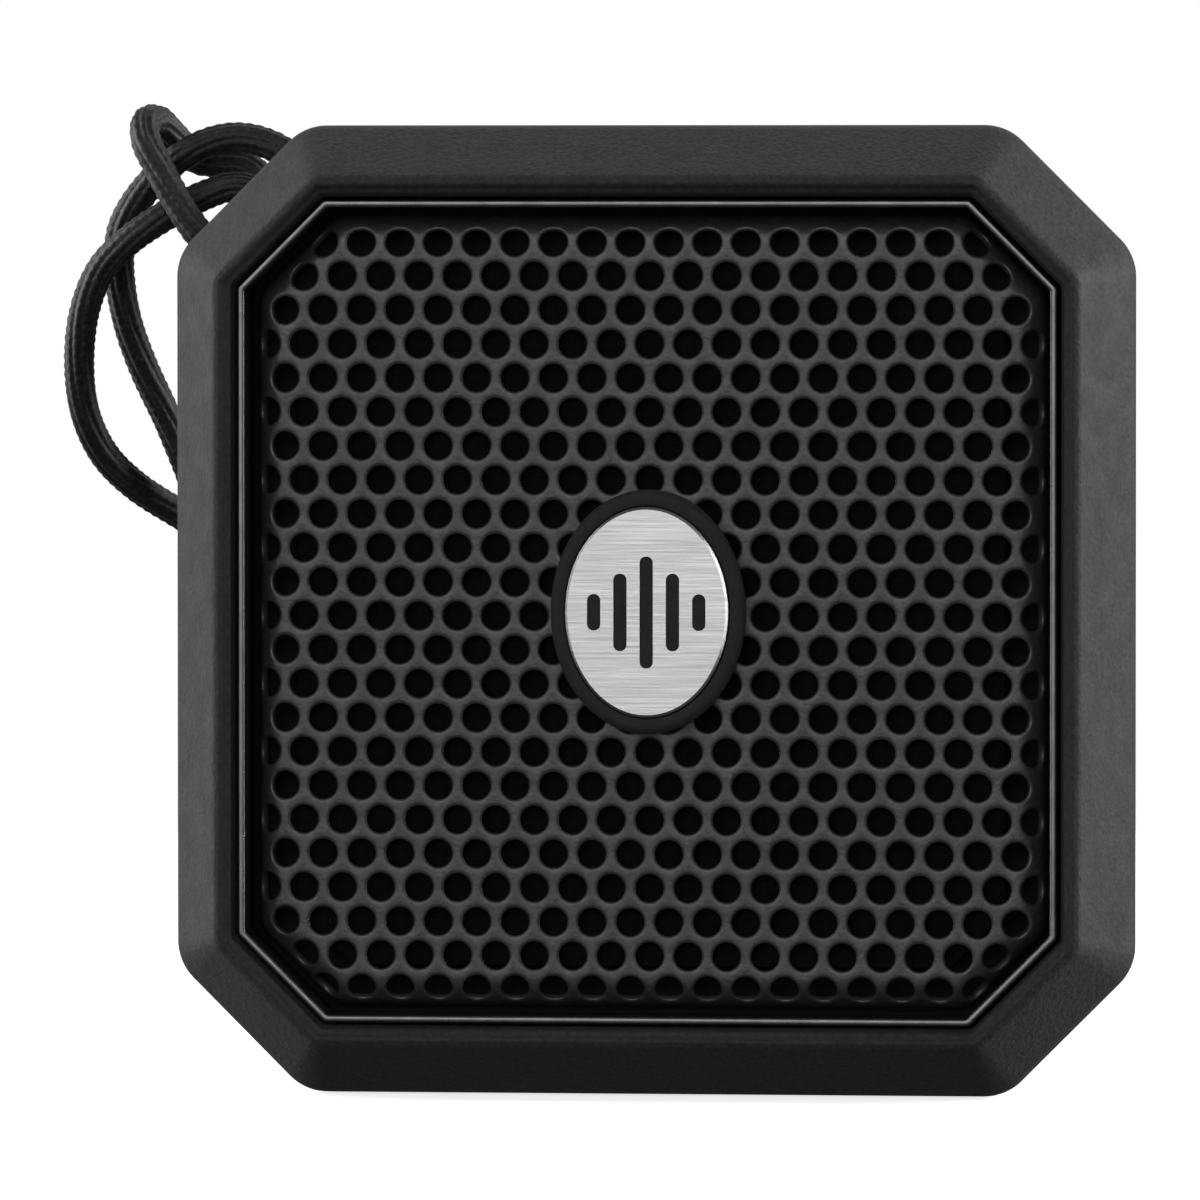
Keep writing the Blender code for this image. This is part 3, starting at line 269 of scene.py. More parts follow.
def outline(inset, tall=0.0, draft=0.0, radius=None, steps=ARC_STEPS):
    if radius is None:
        radius = max(CORNER_RADIUS - CORNER_SHARPENS * inset ** 2, 0.6 * MM)
    return rounded(housing_corners(inset, tall, draft), [radius] * 8, steps)


def draft_at(y):
    return (y - WIDEST_Y) * tan(DRAFT)


def ellipse(half_x, half_y, count=72):
    turns = [2 * pi * i / count for i in range(count)]
    return [(half_x * cos(turn), half_y * sin(turn)) for turn in turns]


def quarter(steps, first=0):
    """(sin, 1 - cos) of the angles that divide a quarter turn into even steps."""
    turns = [pi / 2 * step / steps for step in range(first, steps + 1)]
    return [(sin(turn), 1 - cos(turn)) for turn in turns]


def wider(sides, extra):
    return [side + extra for side in sides]


def round_box(half_x, half_y, radius, steps=6, centre=(0.0, 0.0)):
    corners = [(half_x, half_y), (-half_x, half_y), (-half_x, -half_y), (half_x, -half_y)]
    return [(x + centre[0], y + centre[1]) for x, y in rounded(corners, [radius] * 4, steps)]


# ---- meshes ----
def add(name, mesh, sharp=35):
    obj = bpy.data.objects.new(name, mesh)
    bpy.context.scene.collection.objects.link(obj)
    mesh.shade_smooth()
    mesh.set_sharp_from_angle(angle=radians(sharp))
    return obj


def from_bmesh(name, shape, sharp=35):
    mesh = bpy.data.meshes.new(name)
    bmesh.ops.recalc_face_normals(shape, faces=shape.faces)
    shape.to_mesh(mesh)
    shape.free()
    return add(name, mesh, sharp)


def loft(name, loops, closed=False, caps=(True, True), sharp=35):
    """Join loops of 3-D points, all of the same number, into one skin."""
    shape = bmesh.new()
    rings = [[shape.verts.new(point) for point in loop] for loop in loops]
    pairs = list(zip(rings, rings[1:]))
    if closed:
        pairs.append((rings[-1], rings[0]))
    for one, other in pairs:
        for i in range(len(one)):
            j = (i + 1) % len(one)
            shape.faces.new((one[i], one[j], other[j], other[i]))
    if not closed:
        for cap, ring in zip(caps, (rings[0], rings[-1])):
            if cap:
                shape.faces.new(ring)
    return from_bmesh(name, shape, sharp)


def on_front(points, y):
    """(x, z) points round the housing's middle, put at a depth."""
    return [(x, y, MID_Z + z) for x, z in points]


def ring(name, profile, sharp=35):
    """Sweep a closed (inset, y) profile round the outline."""
    loops = []
    for inset, y in profile:
        tall = 0.0 if inset > 4.9 * MM else min(max((y + 22 * MM) / (8 * MM), 0.0), 1.0)
        loops.append(on_front(outline(inset, tall), y))
    return loft(name, loops, closed=True, sharp=sharp)


def box_between(name, low, high):
    shape = bmesh.new()
    bmesh.ops.create_cube(shape, size=1.0)
    for vert in shape.verts:
        vert.co = Vector([a + (b - a) * (t + 0.5) for a, b, t in zip(low, high, vert.co)])
    return from_bmesh(name, shape)


def rod(name, radius, start, end, segments=48):
    start, end = Vector(start), Vector(end)
    along = end - start
    turn = along.to_track_quat("Z", "Y").to_matrix().to_4x4()
    shape = bmesh.new()
    bmesh.ops.create_cone(
        shape, cap_ends=True, segments=segments, radius1=radius, radius2=radius,
        depth=along.length, matrix=Matrix.Translation((start + end) / 2) @ turn)
    return from_bmesh(name, shape)


def prism(name, points, lift, *depths):
    return loft(name, [lift(points, depth) for depth in depths])


def opening(name, grow, lift, floor, mouth, flare=0.25 * MM):
    """A cutter from a floor out through a face, flared so that the mouth's edge is round.

    grow(extra) gives the outline wider by extra, and lift(points, depth) puts it in place.
    """
    outward = 1.0 if mouth > floor else -1.0
    loops = [lift(grow(0.0), floor)]
    for up, out in quarter(5):
        rise = flare * (up - 1) + (CLEAR_OF_FACE if up == 1.0 else 0.0)
        loops.append(lift(grow(flare * out), mouth + outward * rise))
    loops.append(lift(grow(flare), mouth + outward * MM))
    return loft(name, loops)


def pad(name, grow, lift, base, top, edge, crown=0.0, round_base=0.0):
    """A solid from base to top with a round top edge, and a top that may be crowned."""
    outward = 1.0 if top > base else -1.0
    loops = [lift(grow(0.0), base)]
    if round_base:
        loops = [lift(grow(-round_base * (1 - up)), base + outward * round_base * out)
                 for up, out in quarter(4)]
    shoulder = top - outward * crown
    for up, out in quarter(6):
        loops.append(lift(grow(-edge * out), shoulder - outward * edge * (1 - up)))
    if crown:
        for share in (0.2, 0.4, 0.6, 0.8):
            rise = crown * (1 - (1 - share) ** 2)
            loops.append(lift(grow(-edge - share * CROWN_REACH), shoulder + outward * rise))
    return loft(name, loops)


def turned(name, profile, centre, steps=48, sharp=40):
    """Turn (radius, y) points about the line along Y through centre (x, z)."""
    shape = bmesh.new()
    rings = []
    for radius, y in profile:
        circle = ellipse(radius, radius, steps) if radius > 1e-9 else [(0.0, 0.0)]
        rings.append([shape.verts.new((centre[0] + x, y, centre[1] + z)) for x, z in circle])
    for one, other in zip(rings, rings[1:]):
        for i in range(steps):
            j = i + 1
            corners = (one[i % len(one)], one[j % len(one)],
                       other[j % len(other)], other[i % len(other)])
            shape.faces.new(list(dict.fromkeys(corners)))
    for end in (rings[0], rings[-1]):
        if len(end) > 1:
            shape.faces.new(end)
    return from_bmesh(name, shape, sharp)


def bead(name, points, radius, sides=14):
    """A round bar along points, with round ends."""
    line = [Vector(point) for point in points]
    first = (line[0] - line[1]).normalized()
    last = (line[-1] - line[-2]).normalized()
    turns = [pi / 2 * step / 5 for step in range(1, 5)]
    stations = [(line[0] + first * radius * cos(t), radius * sin(t)) for t in turns]
    stations += [(point, radius) for point in line]
    stations += [(line[-1] + last * radius * cos(t), radius * sin(t)) for t in reversed(turns)]
    circle = ellipse(1.0, 1.0, sides)
    loops = []
    for i, (point, size) in enumerate(stations):
        ahead = stations[min(i + 1, len(stations) - 1)][0] - stations[max(i - 1, 0)][0]
        side = ahead.cross(Vector((0.0, 0.0, 1.0))).normalized()
        over = side.cross(ahead).normalized()
        loops.append([point + size * (x * side + y * over) for x, y in circle])
    return loft(name, loops, sharp=60)


def merge(obj, *others):
    """Take other objects' meshes into one object, without cutting them."""
    shape = bmesh.new()
    shape.from_mesh(obj.data)
    for other in others:
        shape.from_mesh(other.data)
        bpy.data.objects.remove(other, do_unlink=True)
    shape.to_mesh(obj.data)
    shape.free()
    return obj


def combine(obj, tools, operation):
    """Cut or join with tools, and keep only the result."""
    for tool in tools:
        step = obj.modifiers.new(operation, "BOOLEAN")
        step.operation = operation
        step.solver = "EXACT"
        step.object = tool
    bake(obj)
    for tool in tools:
        bpy.data.objects.remove(tool, do_unlink=True)
    return obj


def cut(obj, *tools):
    return combine(obj, tools, "DIFFERENCE")


def join(obj, *tools):
    return combine(obj, tools, "UNION")


def bake(obj):
    """Turn the object's modifiers into its mesh."""
    bpy.context.view_layer.update()
    evaluated = obj.evaluated_get(bpy.context.evaluated_depsgraph_get())
    mesh = bpy.data.meshes.new_from_object(evaluated)
    obj.modifiers.clear()
    obj.data = mesh
    return obj


def even_shading(obj, sharp):
    """Keep large flat faces flat where a small round edge meets them."""
    obj.data.shade_smooth()
    obj.data.set_sharp_from_angle(angle=radians(sharp))
    weigh = obj.modifiers.new("even", "WEIGHTED_NORMAL")
    weigh.mode = "FACE_AREA"
    weigh.weight = 100
    weigh.keep_sharp = True
    return bake(obj)


def dress(obj, body, slot, look, *nodes, even=None):
    """Give a piece its material and its body, and hide the CAD nodes that it stands for."""
    if even is not None:
        even_shading(obj, even)
    obj.data.materials.clear()
    obj.data.materials.append(look)
    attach(obj, body)
    if nodes:
        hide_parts(*nodes)
    return obj


# ---- materials ----
def fill(tree, node, inputs):
    """Set a node's inputs; one whose value is another node's output is linked to it."""
    for name, value in inputs.items():
        if isinstance(value, bpy.types.NodeSocket):
            tree.links.new(value, node.inputs[name])
        else:
            node.inputs[name].default_value = value


def add_node(tree, kind, inputs):
    node = tree.nodes.new("ShaderNode" + kind)
    fill(tree, node, inputs)
    return node


class Look:
    """A node material: a Principled shader and the patterns that feed it."""

    def __init__(self, name, colour, roughness, metallic=0.0, specular=0.5, sheen=0.0):
        self.material = bpy.data.materials.new(name)
        self.material.use_nodes = True
        self.tree = self.material.node_tree
        self.colour = colour
        self.roughness = roughness
        self.feed({"Base Color": (*colour, 1.0), "Roughness": roughness, "Metallic": metallic,
                   "Specular IOR Level": specular, "Sheen Weight": sheen})
        self.place = self.node("TexCoord", {}).outputs["Object"]
        self.normal = None

    def feed(self, inputs):
        fill(self.tree, self.tree.nodes["Principled BSDF"], inputs)

    def node(self, kind, inputs):
        return add_node(self.tree, kind, inputs)

    def noise(self, size, detail=2.0, stretch=(1.0, 1.0, 1.0)):
        """Noise whose features are about size across."""
        place = self.node("Mapping", {"Scale": stretch, "Vector": self.place}).outputs["Vector"]
        inputs = {"Scale": 1.0 / size, "Detail": detail, "Vector": place}
        return self.node("TexNoise", inputs).outputs["Fac"]

    def cells(self, size):
        inputs = {"Scale": 1.0 / size, "Vector": self.place}
        return self.node("TexVoronoi", inputs).outputs["Distance"]

    def waves(self, size, direction):
        """Even waves: the node draws one every 0.314 of its unit."""
        waves = self.node("TexWave", {"Scale": 0.314 / size, "Vector": self.place})
        waves.bands_direction = direction
        return waves.outputs["Fac"]

    def vary_colour(self, value, other, start=0.3, end=0.7):
        """Run between the material's colour and another one."""
        ramp = self.node("ValToRGB", {"Fac": value})
        low, high = ramp.color_ramp.elements
        low.position, low.color = start, (*self.colour, 1.0)
        high.position, high.color = end, (*other, 1.0)
        self.feed({"Base Color": ramp.outputs["Color"]})

    def vary_roughness(self, value, other):
        spread = self.node("MapRange", {
            "From Min": 0.25, "From Max": 0.75, "To Min": self.roughness, "To Max": other,
            "Value": value})
        self.feed({"Roughness": spread.outputs["Result"]})

    def relief(self, value, depth):
        """Raise the surface by value, on top of any relief it already has."""
        inputs = {"Strength": 1.0, "Distance": depth, "Height": value}
        if self.normal:
            inputs["Normal"] = self.normal
        self.normal = self.node("Bump", inputs).outputs["Normal"]
        self.feed({"Normal": self.normal})


def rubber(name, colour, light, grain=0.30 * MM, depth=0.07 * MM, roughness=0.62, specular=0.35):
    """Soft-touch rubber with a fine moulded grain and a faint cloudiness."""
    look = Look(name, colour, roughness, specular=specular, sheen=0.05)
    look.vary_colour(look.noise(0.42 * MM, 3.0), light, 0.35, 0.65)
    look.vary_roughness(look.noise(2.6 * MM, 5.0), roughness + 0.14)
    look.relief(look.noise(grain, 3.0), depth)
    look.relief(look.cells(2.2 * grain), depth * 0.5)
    return look.material


def surface(name, colour, light, shine, clouds, scuffs, grain, depth, **shader):
    """Cloudy colour, uneven shine and a fine grain.

    shine is the roughness and what it is worn to, and each noise is its size and detail.
    """
    look = Look(name, colour, shine[0], **shader)
    look.vary_colour(look.noise(*clouds), light)
    look.vary_roughness(look.noise(*scuffs), shine[1])
    look.relief(look.noise(*grain), depth)
    return look.material


def coated_steel(name, colour, light):
    """Powder-coated sheet with a fine orange peel."""
    return surface(name, colour, light, (0.32, 0.46), (0.5 * MM, 4.0), (3.0 * MM, 4.0),
                   (0.35 * MM, 2.0), 0.025 * MM, metallic=0.5, specular=0.8)


def dark_anodised():
    return surface("dark_anodised", (0.020, 0.020, 0.022), (0.030, 0.030, 0.032), (0.35, 0.45),
                   (5.0 * MM, 3.0), (0.8 * MM, 4.0), (0.3 * MM, 2.0), 0.004 * MM, metallic=0.6)


def cut_edge():
    """Bare metal left by the cutter along the ring's front edge."""
    return surface("cut_edge", (0.17, 0.17, 0.175), (0.24, 0.24, 0.245), (0.26, 0.34),
                   (2.0 * MM, 4.0), (0.8 * MM, 4.0), (0.3 * MM, 2.0), 0.004 * MM, metallic=1.0)


def brushed(name, colour, light, roughness, stretch=(1.0, 1.0, 28.0)):
    """Metal brushed along X: fine grooves, long along X and thin along Z."""
    look = Look(name, colour, roughness, metallic=1.0)
    grooves = look.noise(6.0 * MM, 6.0, stretch)
    look.vary_colour(grooves, light)
    look.vary_roughness(look.noise(4.0 * MM, 4.0, stretch), roughness + 0.12)
    look.relief(grooves, 0.01 * MM)
    return look.material


def braided():
    look = Look("braided_cord", (0.0035, 0.0037, 0.004), 0.5, sheen=0.08)
    look.feed({"Sheen Roughness": 0.45})
    look.vary_colour(look.noise(0.45 * MM, 4.0), (0.026, 0.027, 0.029), 0.45, 0.7)
    look.relief(look.noise(0.12 * MM, 3.0), 0.05 * MM)
    return look.material


def woven():
    look = Look("acoustic_cloth", (0.0035, 0.0035, 0.004), 0.95, specular=0.15)
    look.vary_colour(look.noise(0.5 * MM), (0.006, 0.006, 0.0065))
    look.relief(look.waves(0.25 * MM, "X"), 0.05 * MM)
    look.relief(look.waves(0.25 * MM, "Z"), 0.05 * MM)
    return look.material


def moulded(name, colour, light, roughness=0.5, grain=0.4 * MM, depth=0.012 * MM, metallic=0.0):
    """Moulded plastic, sintered or plated pieces: faint texture and cloudy shine."""
    return surface(name, colour, light, (roughness, roughness + 0.12), (3.0 * MM, 4.0),
                   (1.5 * MM, 3.0), (grain, 3.0), depth, metallic=metallic)


# ---- camera, light and floor ----
def camera():
    data = bpy.data.cameras.new("camera")
    data.sensor_width = 36.0
    data.lens = LENS
    data.shift_x, data.shift_y = SHIFT
    data.clip_start = 0.05
    towards = Vector((sin(YAW) * cos(ELEVATION), -cos(YAW) * cos(ELEVATION), sin(ELEVATION)))
    eye = bpy.data.objects.new("camera", data)
    eye.location = AIM + towards * DISTANCE
    eye.rotation_euler = (-towards).to_track_quat("-Z", "Y").to_euler()
    bpy.context.scene.collection.objects.link(eye)
    bpy.context.scene.camera = eye


def soft_light(name, location, width, height, power, aim=(0.0, 0.0, 0.045)):
    data = bpy.data.lights.new(name, "AREA")
    data.shape = "RECTANGLE"
    data.size, data.size_y = width, height
    data.energy = power
    lamp = bpy.data.objects.new(name, data)
    lamp.location = location
    lamp.rotation_euler = (Vector(aim) - Vector(location)).to_track_quat("-Z", "Y").to_euler()
    lamp.visible_camera = False
    bpy.context.scene.collection.objects.link(lamp)


def studio():
    """A white surround that lights the scene only a little, and soft boxes round the object."""
    bpy.context.scene.view_settings.view_transform = "Standard"
    world = bpy.data.worlds.new("studio")
    bpy.context.scene.world = world
    world.use_nodes = True
    tree = world.node_tree
    around = add_node(tree, "TexCoord", {}).outputs["Generated"]
    way = add_node(tree, "SeparateXYZ", {"Vector": around})
    fade = add_node(tree, "MapRange", {
        "From Min": -FADE_HEIGHT, "From Max": FADE_HEIGHT, "To Min": AMBIENT_BELOW,
        "To Max": AMBIENT, "Value": way.outputs["Z"]})
    ambient = tree.nodes["Background"]
    fill(tree, ambient, {"Color": AMBIENT_COLOUR, "Strength": fade.outputs["Result"]})
    seen = add_node(tree, "Background", {"Color": WHITE, "Strength": 1.0})
    camera_ray = add_node(tree, "LightPath", {}).outputs["Is Camera Ray"]
    choose = add_node(tree, "MixShader", {
        "Fac": camera_ray, 1: ambient.outputs["Background"], 2: seen.outputs["Background"]})
    fill(tree, tree.nodes["World Output"], {"Surface": choose.outputs["Shader"]})
    for soft_box in SOFT_BOXES:
        soft_light(*soft_box)


def floor():
    """A round pale sheet; it is seen and takes shadows, but throws no light back up."""
    circle = ellipse(FLOOR_RADIUS, FLOOR_RADIUS, 96)
    sheet = loft("floor", [[(x, y, z) for x, y in circle] for z in (-0.0001, -0.004)])
    look = Look("pale_floor", (0.93, 0.93, 0.93), 0.8, specular=0.1)
    look.vary_colour(look.noise(0.4), (0.95, 0.95, 0.95))
    look.feed({"Emission Color": WHITE, "Emission Strength": FLOOR_GLOW})
    sheet.data.materials.append(look.material)
    sheet.visible_diffuse = False
    sheet.visible_glossy = False


# ---- carrying cord ----
def smooth_curve(points, steps):
    """A Catmull-Rom curve through the points, timed by the root of each chord."""
    path = [Vector(point) for point in points]
    path = [2 * path[0] - path[1]] + path + [2 * path[-1] - path[-2]]
    curve = []
    for i in range(1, len(path) - 2):
        near = path[i - 1:i + 3]
        times = [0.0]
        for a, b in zip(near, near[1:]):
            times.append(times[-1] + sqrt((b - a).length))
        for step in range(steps):
            t = times[1] + (times[2] - times[1]) * step / steps
            pairs = [between(*near[k:k + 2], times[k], times[k + 1], t) for k in range(3)]
            triples = [between(*pairs[k:k + 2], times[k], times[k + 2], t) for k in range(2)]
            curve.append(between(*triples, times[1], times[2], t))
    curve.append(path[-2])
    return curve


def between(a, b, start, end, t):
    return a * ((end - t) / (end - start)) + b * ((t - start) / (end - start))


def evenly(curve, spacing):
    """The same line with points at an even spacing, and its length."""
    line = np.array([tuple(point) for point in curve])
    runs = np.linalg.norm(np.diff(line, axis=0), axis=1)
    along = np.concatenate([[0.0], np.cumsum(runs)])
    count = ceil(along[-1] / spacing) + 1
    wanted = np.linspace(0.0, along[-1], count)
    points = np.stack([np.interp(wanted, along, line[:, k]) for k in range(3)], axis=1)
    return points, wanted


def braid_height(turn, along):
    """Height of the woven cover, 0 to 1: lengthwise ribs, each a row of V-shaped stitches."""
    around = CORD_RIBS * (turn + CORD_TWIST * along) / 2
    lean = 2.2 * np.abs(np.sin(around))
    stitch = 0.5 + 0.5 * np.cos(2 * pi * along / CORD_STITCH + lean)
    return np.abs(np.cos(around)) * (0.55 + 0.45 * stitch)


def cord():
    route = [tuple(value * MM for value in point) for point in CORD_ROUTE]
    points, along = evenly(smooth_curve(route, CORD_CURVE_STEPS), CORD_RING)
    tangents = np.gradient(points, axis=0)
    tangents /= np.linalg.norm(tangents, axis=1)[:, None]
    across = np.cross(tangents[0], (0.0, 1.0, 0.0))
    turns = np.linspace(0.0, 2 * pi, CORD_SIDES, endpoint=False)
    loops = []
    for point, tangent, length in zip(points, tangents, along):
        across = across - tangent * across.dot(tangent)
        across /= np.linalg.norm(across)
        over = np.cross(tangent, across)
        radius = CORD_DIAMETER / 2 - CORD_RELIEF * (1 - braid_height(turns, length))
        circle = np.outer(radius * np.cos(turns), across) + np.outer(radius * np.sin(turns), over)
        loops.append([tuple(place) for place in point + circle])
    tube = loft("carrying_cord", loops, sharp=80)
    dress(tube, "housing", "cord_braid", braided(), "lanyard_cord")
    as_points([tuple(point) for point in points[::CORD_PATH_STEP]] + [tuple(points[-1])])


# ---- front ----
def profile_of(corners):
    """A closed profile from (inset, y, radius) corners in millimetres."""
    flat = [(inset * MM, y * MM) for inset, y, _ in corners]
    return rounded(flat, [radius * MM for _, _, radius in corners], 6)


def bezel():
    profile = profile_of((
        (0.41, -10.7, 0.25), (0.0, -14.5, 3.2), (4.6, -22.15, 1.0), (5.45, -22.5, 0.32),
        (5.72, -21.7, 0.12), (6.1, -21.55, 0.14), (6.5, -20.6, 0.3), (6.5, -12.2, 0.1),
        (9.5, -12.2, 0.2), (9.5, -10.7, 0.2)))
    skin = ring("front_rim", profile)
    dress(skin, "housing", "housing_rubber", HOUSING, "front_bezel")


def trim():
    """A dark ring round the grille whose front edge is cut bright."""
    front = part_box("trim_ring")[0][1] / MM
    profile = profile_of((
        (6.8, -15.3, 0.1), (6.8, front, 0.28), (7.5, front, 0.28), (7.5, -15.3, 0.1)))
    line = ring("trim_line", profile, sharp=60)
    dress(line, "housing", "trim_metal", dark_anodised(), "trim_ring")
    line.data.materials.append(cut_edge())
    for face in line.data.polygons:
        if face.center.y < (front + BRIGHT_BAND) * MM:
            face.material_index = 1


def hole_centres():
    """All the holes of the flat sheet, before its edge is rolled: staggered rows."""
    for row in range(-HOLE_ROWS, HOLE_ROWS + 1):
        shift = HOLE_PITCH / 2 if (row - HOLE_ROWS) % 2 == 0 else 0.0
        for column in range(-HOLE_COLUMNS, HOLE_COLUMNS + 1):
            x = column * HOLE_PITCH + shift
            z = row * ROW_HEIGHT - ROW_DROP
            covered = (x / BADGE_HALF[0]) ** 2 + (z / BADGE_HALF[1]) ** 2 < COVERED_SHARE
            if abs(x) < HOLE_REACH and abs(x) + abs(z) < HOLE_LIMIT and not covered:
                yield x, z


def roll_back(points, depths, flat):
    """Bend the developed sheet's edge: points are (x, z), depths are into the sheet."""
    corners = np.array(flat)
    best = np.full(len(points), np.inf)
    nearest = points.copy()
    inside = np.ones(len(points), bool)
    for a, b in zip(corners, np.roll(corners, -1, axis=0)):
        edge = b - a
        share = np.clip(((points - a) @ edge) / (edge @ edge), 0.0, 1.0)
        foot = a + share[:, None] * edge
        gap = np.linalg.norm(points - foot, axis=1)
        closer = gap < best
        best[closer] = gap[closer]
        nearest[closer] = foot[closer]
        inside &= (points - a) @ np.array([-edge[1], edge[0]]) >= 0.0
    beyond = np.where(inside, 0.0, best)
    way = np.where(beyond[:, None] > 0, (points - nearest) / np.maximum(best, 1e-9)[:, None], 0.0)
    base = np.where(inside[:, None], points, nearest)
    angle = np.minimum(beyond / SHEET_ROLL, pi / 2)
    straight = np.maximum(beyond - SHEET_ROLL * pi / 2, 0.0)
    bent = base + way * ((SHEET_ROLL - depths) * np.sin(angle))[:, None]
    back = SHEET_ROLL - (SHEET_ROLL - depths) * np.cos(angle) + straight
    back = np.where(inside, depths, back)
    return np.column_stack([bent[:, 0], SHEET_FRONT_Y + back, MID_Z + bent[:, 1]])


def developed_outline(flat, distance, spacing):
    """Points at a distance outside a convex outline."""
    points = []
    count = len(flat)
    for i, corner in enumerate(flat):
        here = np.array(corner)
        before = here - np.array(flat[i - 1])
        after = np.array(flat[(i + 1) % count]) - here
        start = atan2(-before[0], before[1])
        turn = (atan2(-after[0], after[1]) - start) % (2 * pi)
        arc_steps = max(1, ceil(turn * distance / spacing))
        for step in range(arc_steps + 1):
            angle = start + turn * step / arc_steps
            points.append(here + distance * np.array([cos(angle), sin(angle)]))
        run = np.linalg.norm(after)
        steps = ceil(run / spacing)
        out = distance * np.array([after[1], -after[0]]) / run
        points += [here + after * step / steps + out for step in range(1, steps)]
    return [tuple(point) for point in points]


def grille():
    """The perforated sheet: every hole has a rolled lip, a wall and a flared back."""
    flat = housing_corners(SHEET_INSET + SHEET_ROLL)
    reach = SHEET_ROLL * pi / 2
    holes = list(hole_centres())
    outer = HOLE_RADIUS + RIM_WIDTH
    circle = np.array(ellipse(1.0, 1.0, HOLE_SIDES))
    points, edges = [], []

    def closed_line(line):
        first = len(points)
        points.extend(line)
        edges.extend((first + i, first + (i + 1) % len(line)) for i in range(len(line)))

    rim_line = developed_outline(flat, reach, PLAN_SPACING)
    closed_line(rim_line)
    for x, z in holes:
        closed_line([(x + outer * across, z + outer * up) for across, up in circle])
    centres = np.array(holes)
    for share in (0.0, 0.14, 0.28, 0.42, 0.56, 0.70, 0.85):
        for point in developed_outline(flat, reach * share, PLAN_SPACING):
            if np.min(np.linalg.norm(centres - point, axis=1)) > outer + PLAN_CLEARANCE:
                points.append(point)
    scaled = [Vector((x / MM, z / MM)) for x, z in points]
    verts, _, faces, _, _, _ = delaunay_2d_cdt(scaled, edges, [], 1, 1e-5)
    plane = np.array([(v.x, v.y) for v in verts]) * MM
    faces = np.array(faces)
    middles = plane[faces].mean(axis=1)
    near = np.array([np.min(np.linalg.norm(centres - m, axis=1)) for m in middles])
    faces = faces[near > outer * 0.99]
    build_sheet(plane, faces, holes, circle, flat, rim_line)


def as_key(point):
    return round(point[0] / MM, 3), round(point[1] / MM, 3)


def index_of(lookup, point):
    """The vertex at a point of the plan, which the triangulation may have moved a little."""
    x, z = as_key(point)
    for shift_x in (0.0, 0.001, -0.001):
        for shift_z in (0.0, 0.001, -0.001):
            found = lookup.get((round(x + shift_x, 3), round(z + shift_z, 3)))
            if found is not None:
                return found
    raise ValueError("the triangulation has lost a point of the plan")


def build_sheet(plane, faces, holes, circle, flat, rim_line):
    """Front and back skins from one triangulation, joined by the hole walls and the edge."""
    count = len(plane)
    outer = HOLE_RADIUS + RIM_WIDTH
    lookup = {as_key(point): i for i, point in enumerate(plane)}
    levels = [(HOLE_RADIUS + RIM_WIDTH * (1 - up), RIM_DEPTH * out)
              for up, out in quarter(LIP_STEPS, 1)]
    levels.append((HOLE_RADIUS, SHEET_THICK * 0.7))
    all_points = [plane, plane]
    depths = [np.zeros(count), np.full(count, SHEET_THICK)]
    all_faces = [tuple(face) for face in faces] + [tuple(face[::-1] + count) for face in faces]
    edge = [index_of(lookup, point) for point in rim_line]
    for one, other in zip(edge, edge[1:] + edge[:1]):
        all_faces.append((one, other, other + count, one + count))
    total = 2 * count
    highlight_lip_faces = []
    for centre in holes:
        middle = np.array(centre)
        front = [index_of(lookup, point) for point in middle + outer * circle]
        rows = [front]
        for radius, depth in levels:
            all_points.append(middle + radius * circle)
            depths.append(np.full(HOLE_SIDES, depth))
            rows.append(list(range(total, total + HOLE_SIDES)))
            total += HOLE_SIDES
        rows.append([i + count for i in front])
        for step, (one, other) in enumerate(zip(rows, rows[1:])):
            # the lip faces, which take the painted highlight
            if step < LIP_STEPS:
                highlight_lip_faces.extend(range(len(all_faces), len(all_faces) + len(one)))
            for i in range(len(one)):
                j = (i + 1) % len(one)
                all_faces.append((one[i], one[j], other[j], other[i]))
    places = roll_back(np.vstack(all_points), np.concatenate(depths), flat)
    mesh = bpy.data.meshes.new("grille_sheet")
    mesh.from_pydata([tuple(p) for p in places], [], [tuple(int(i) for i in f) for f in all_faces])
    for face in highlight_lip_faces:
        mesh.polygons[face].material_index = 1
    shape = bmesh.new()
    shape.from_mesh(mesh)
    loose = [vert for vert in shape.verts if not vert.link_faces]
    bmesh.ops.delete(shape, geom=loose, context="VERTS")
    sheet = from_bmesh("grille_sheet", shape, sharp=70)
    coat = coated_steel("coated_steel", (0.052, 0.054, 0.058), (0.086, 0.088, 0.092))
    # painted highlight: a brighter copy of the coated steel, put on the lips of the holes
    lip_highlight_coat = coated_steel("coated_lip_highlight", (0.125, 0.128, 0.134), (0.19, 0.193, 0.20))
    dress(sheet, "housing", "grille_steel", coat, "grille")
    sheet.data.materials.append(lip_highlight_coat)      # painted highlight: the lips get a brighter copy of the coat, for the light that they catch


def badge():
    low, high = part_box("badge_base")
    front, back = low[1], high[1]
    loops = [on_front(ellipse(*BADGE_HALF), back)]
    for up, out in quarter(6):
        loops.append(on_front(ellipse(*wider(BADGE_HALF, -BADGE_EDGE * out)),
                              front + BADGE_EDGE * (1 - up)))
    for gap, depth in BADGE_WELL:
        loops.append(on_front(ellipse(*wider(FACE_HALF, gap * MM)), front + depth * MM))
    base = loft("badge_surround", loops)
    dress(base, "housing", "badge_surround", SMOOTH_RUBBER, "badge_base")
    badge_face()


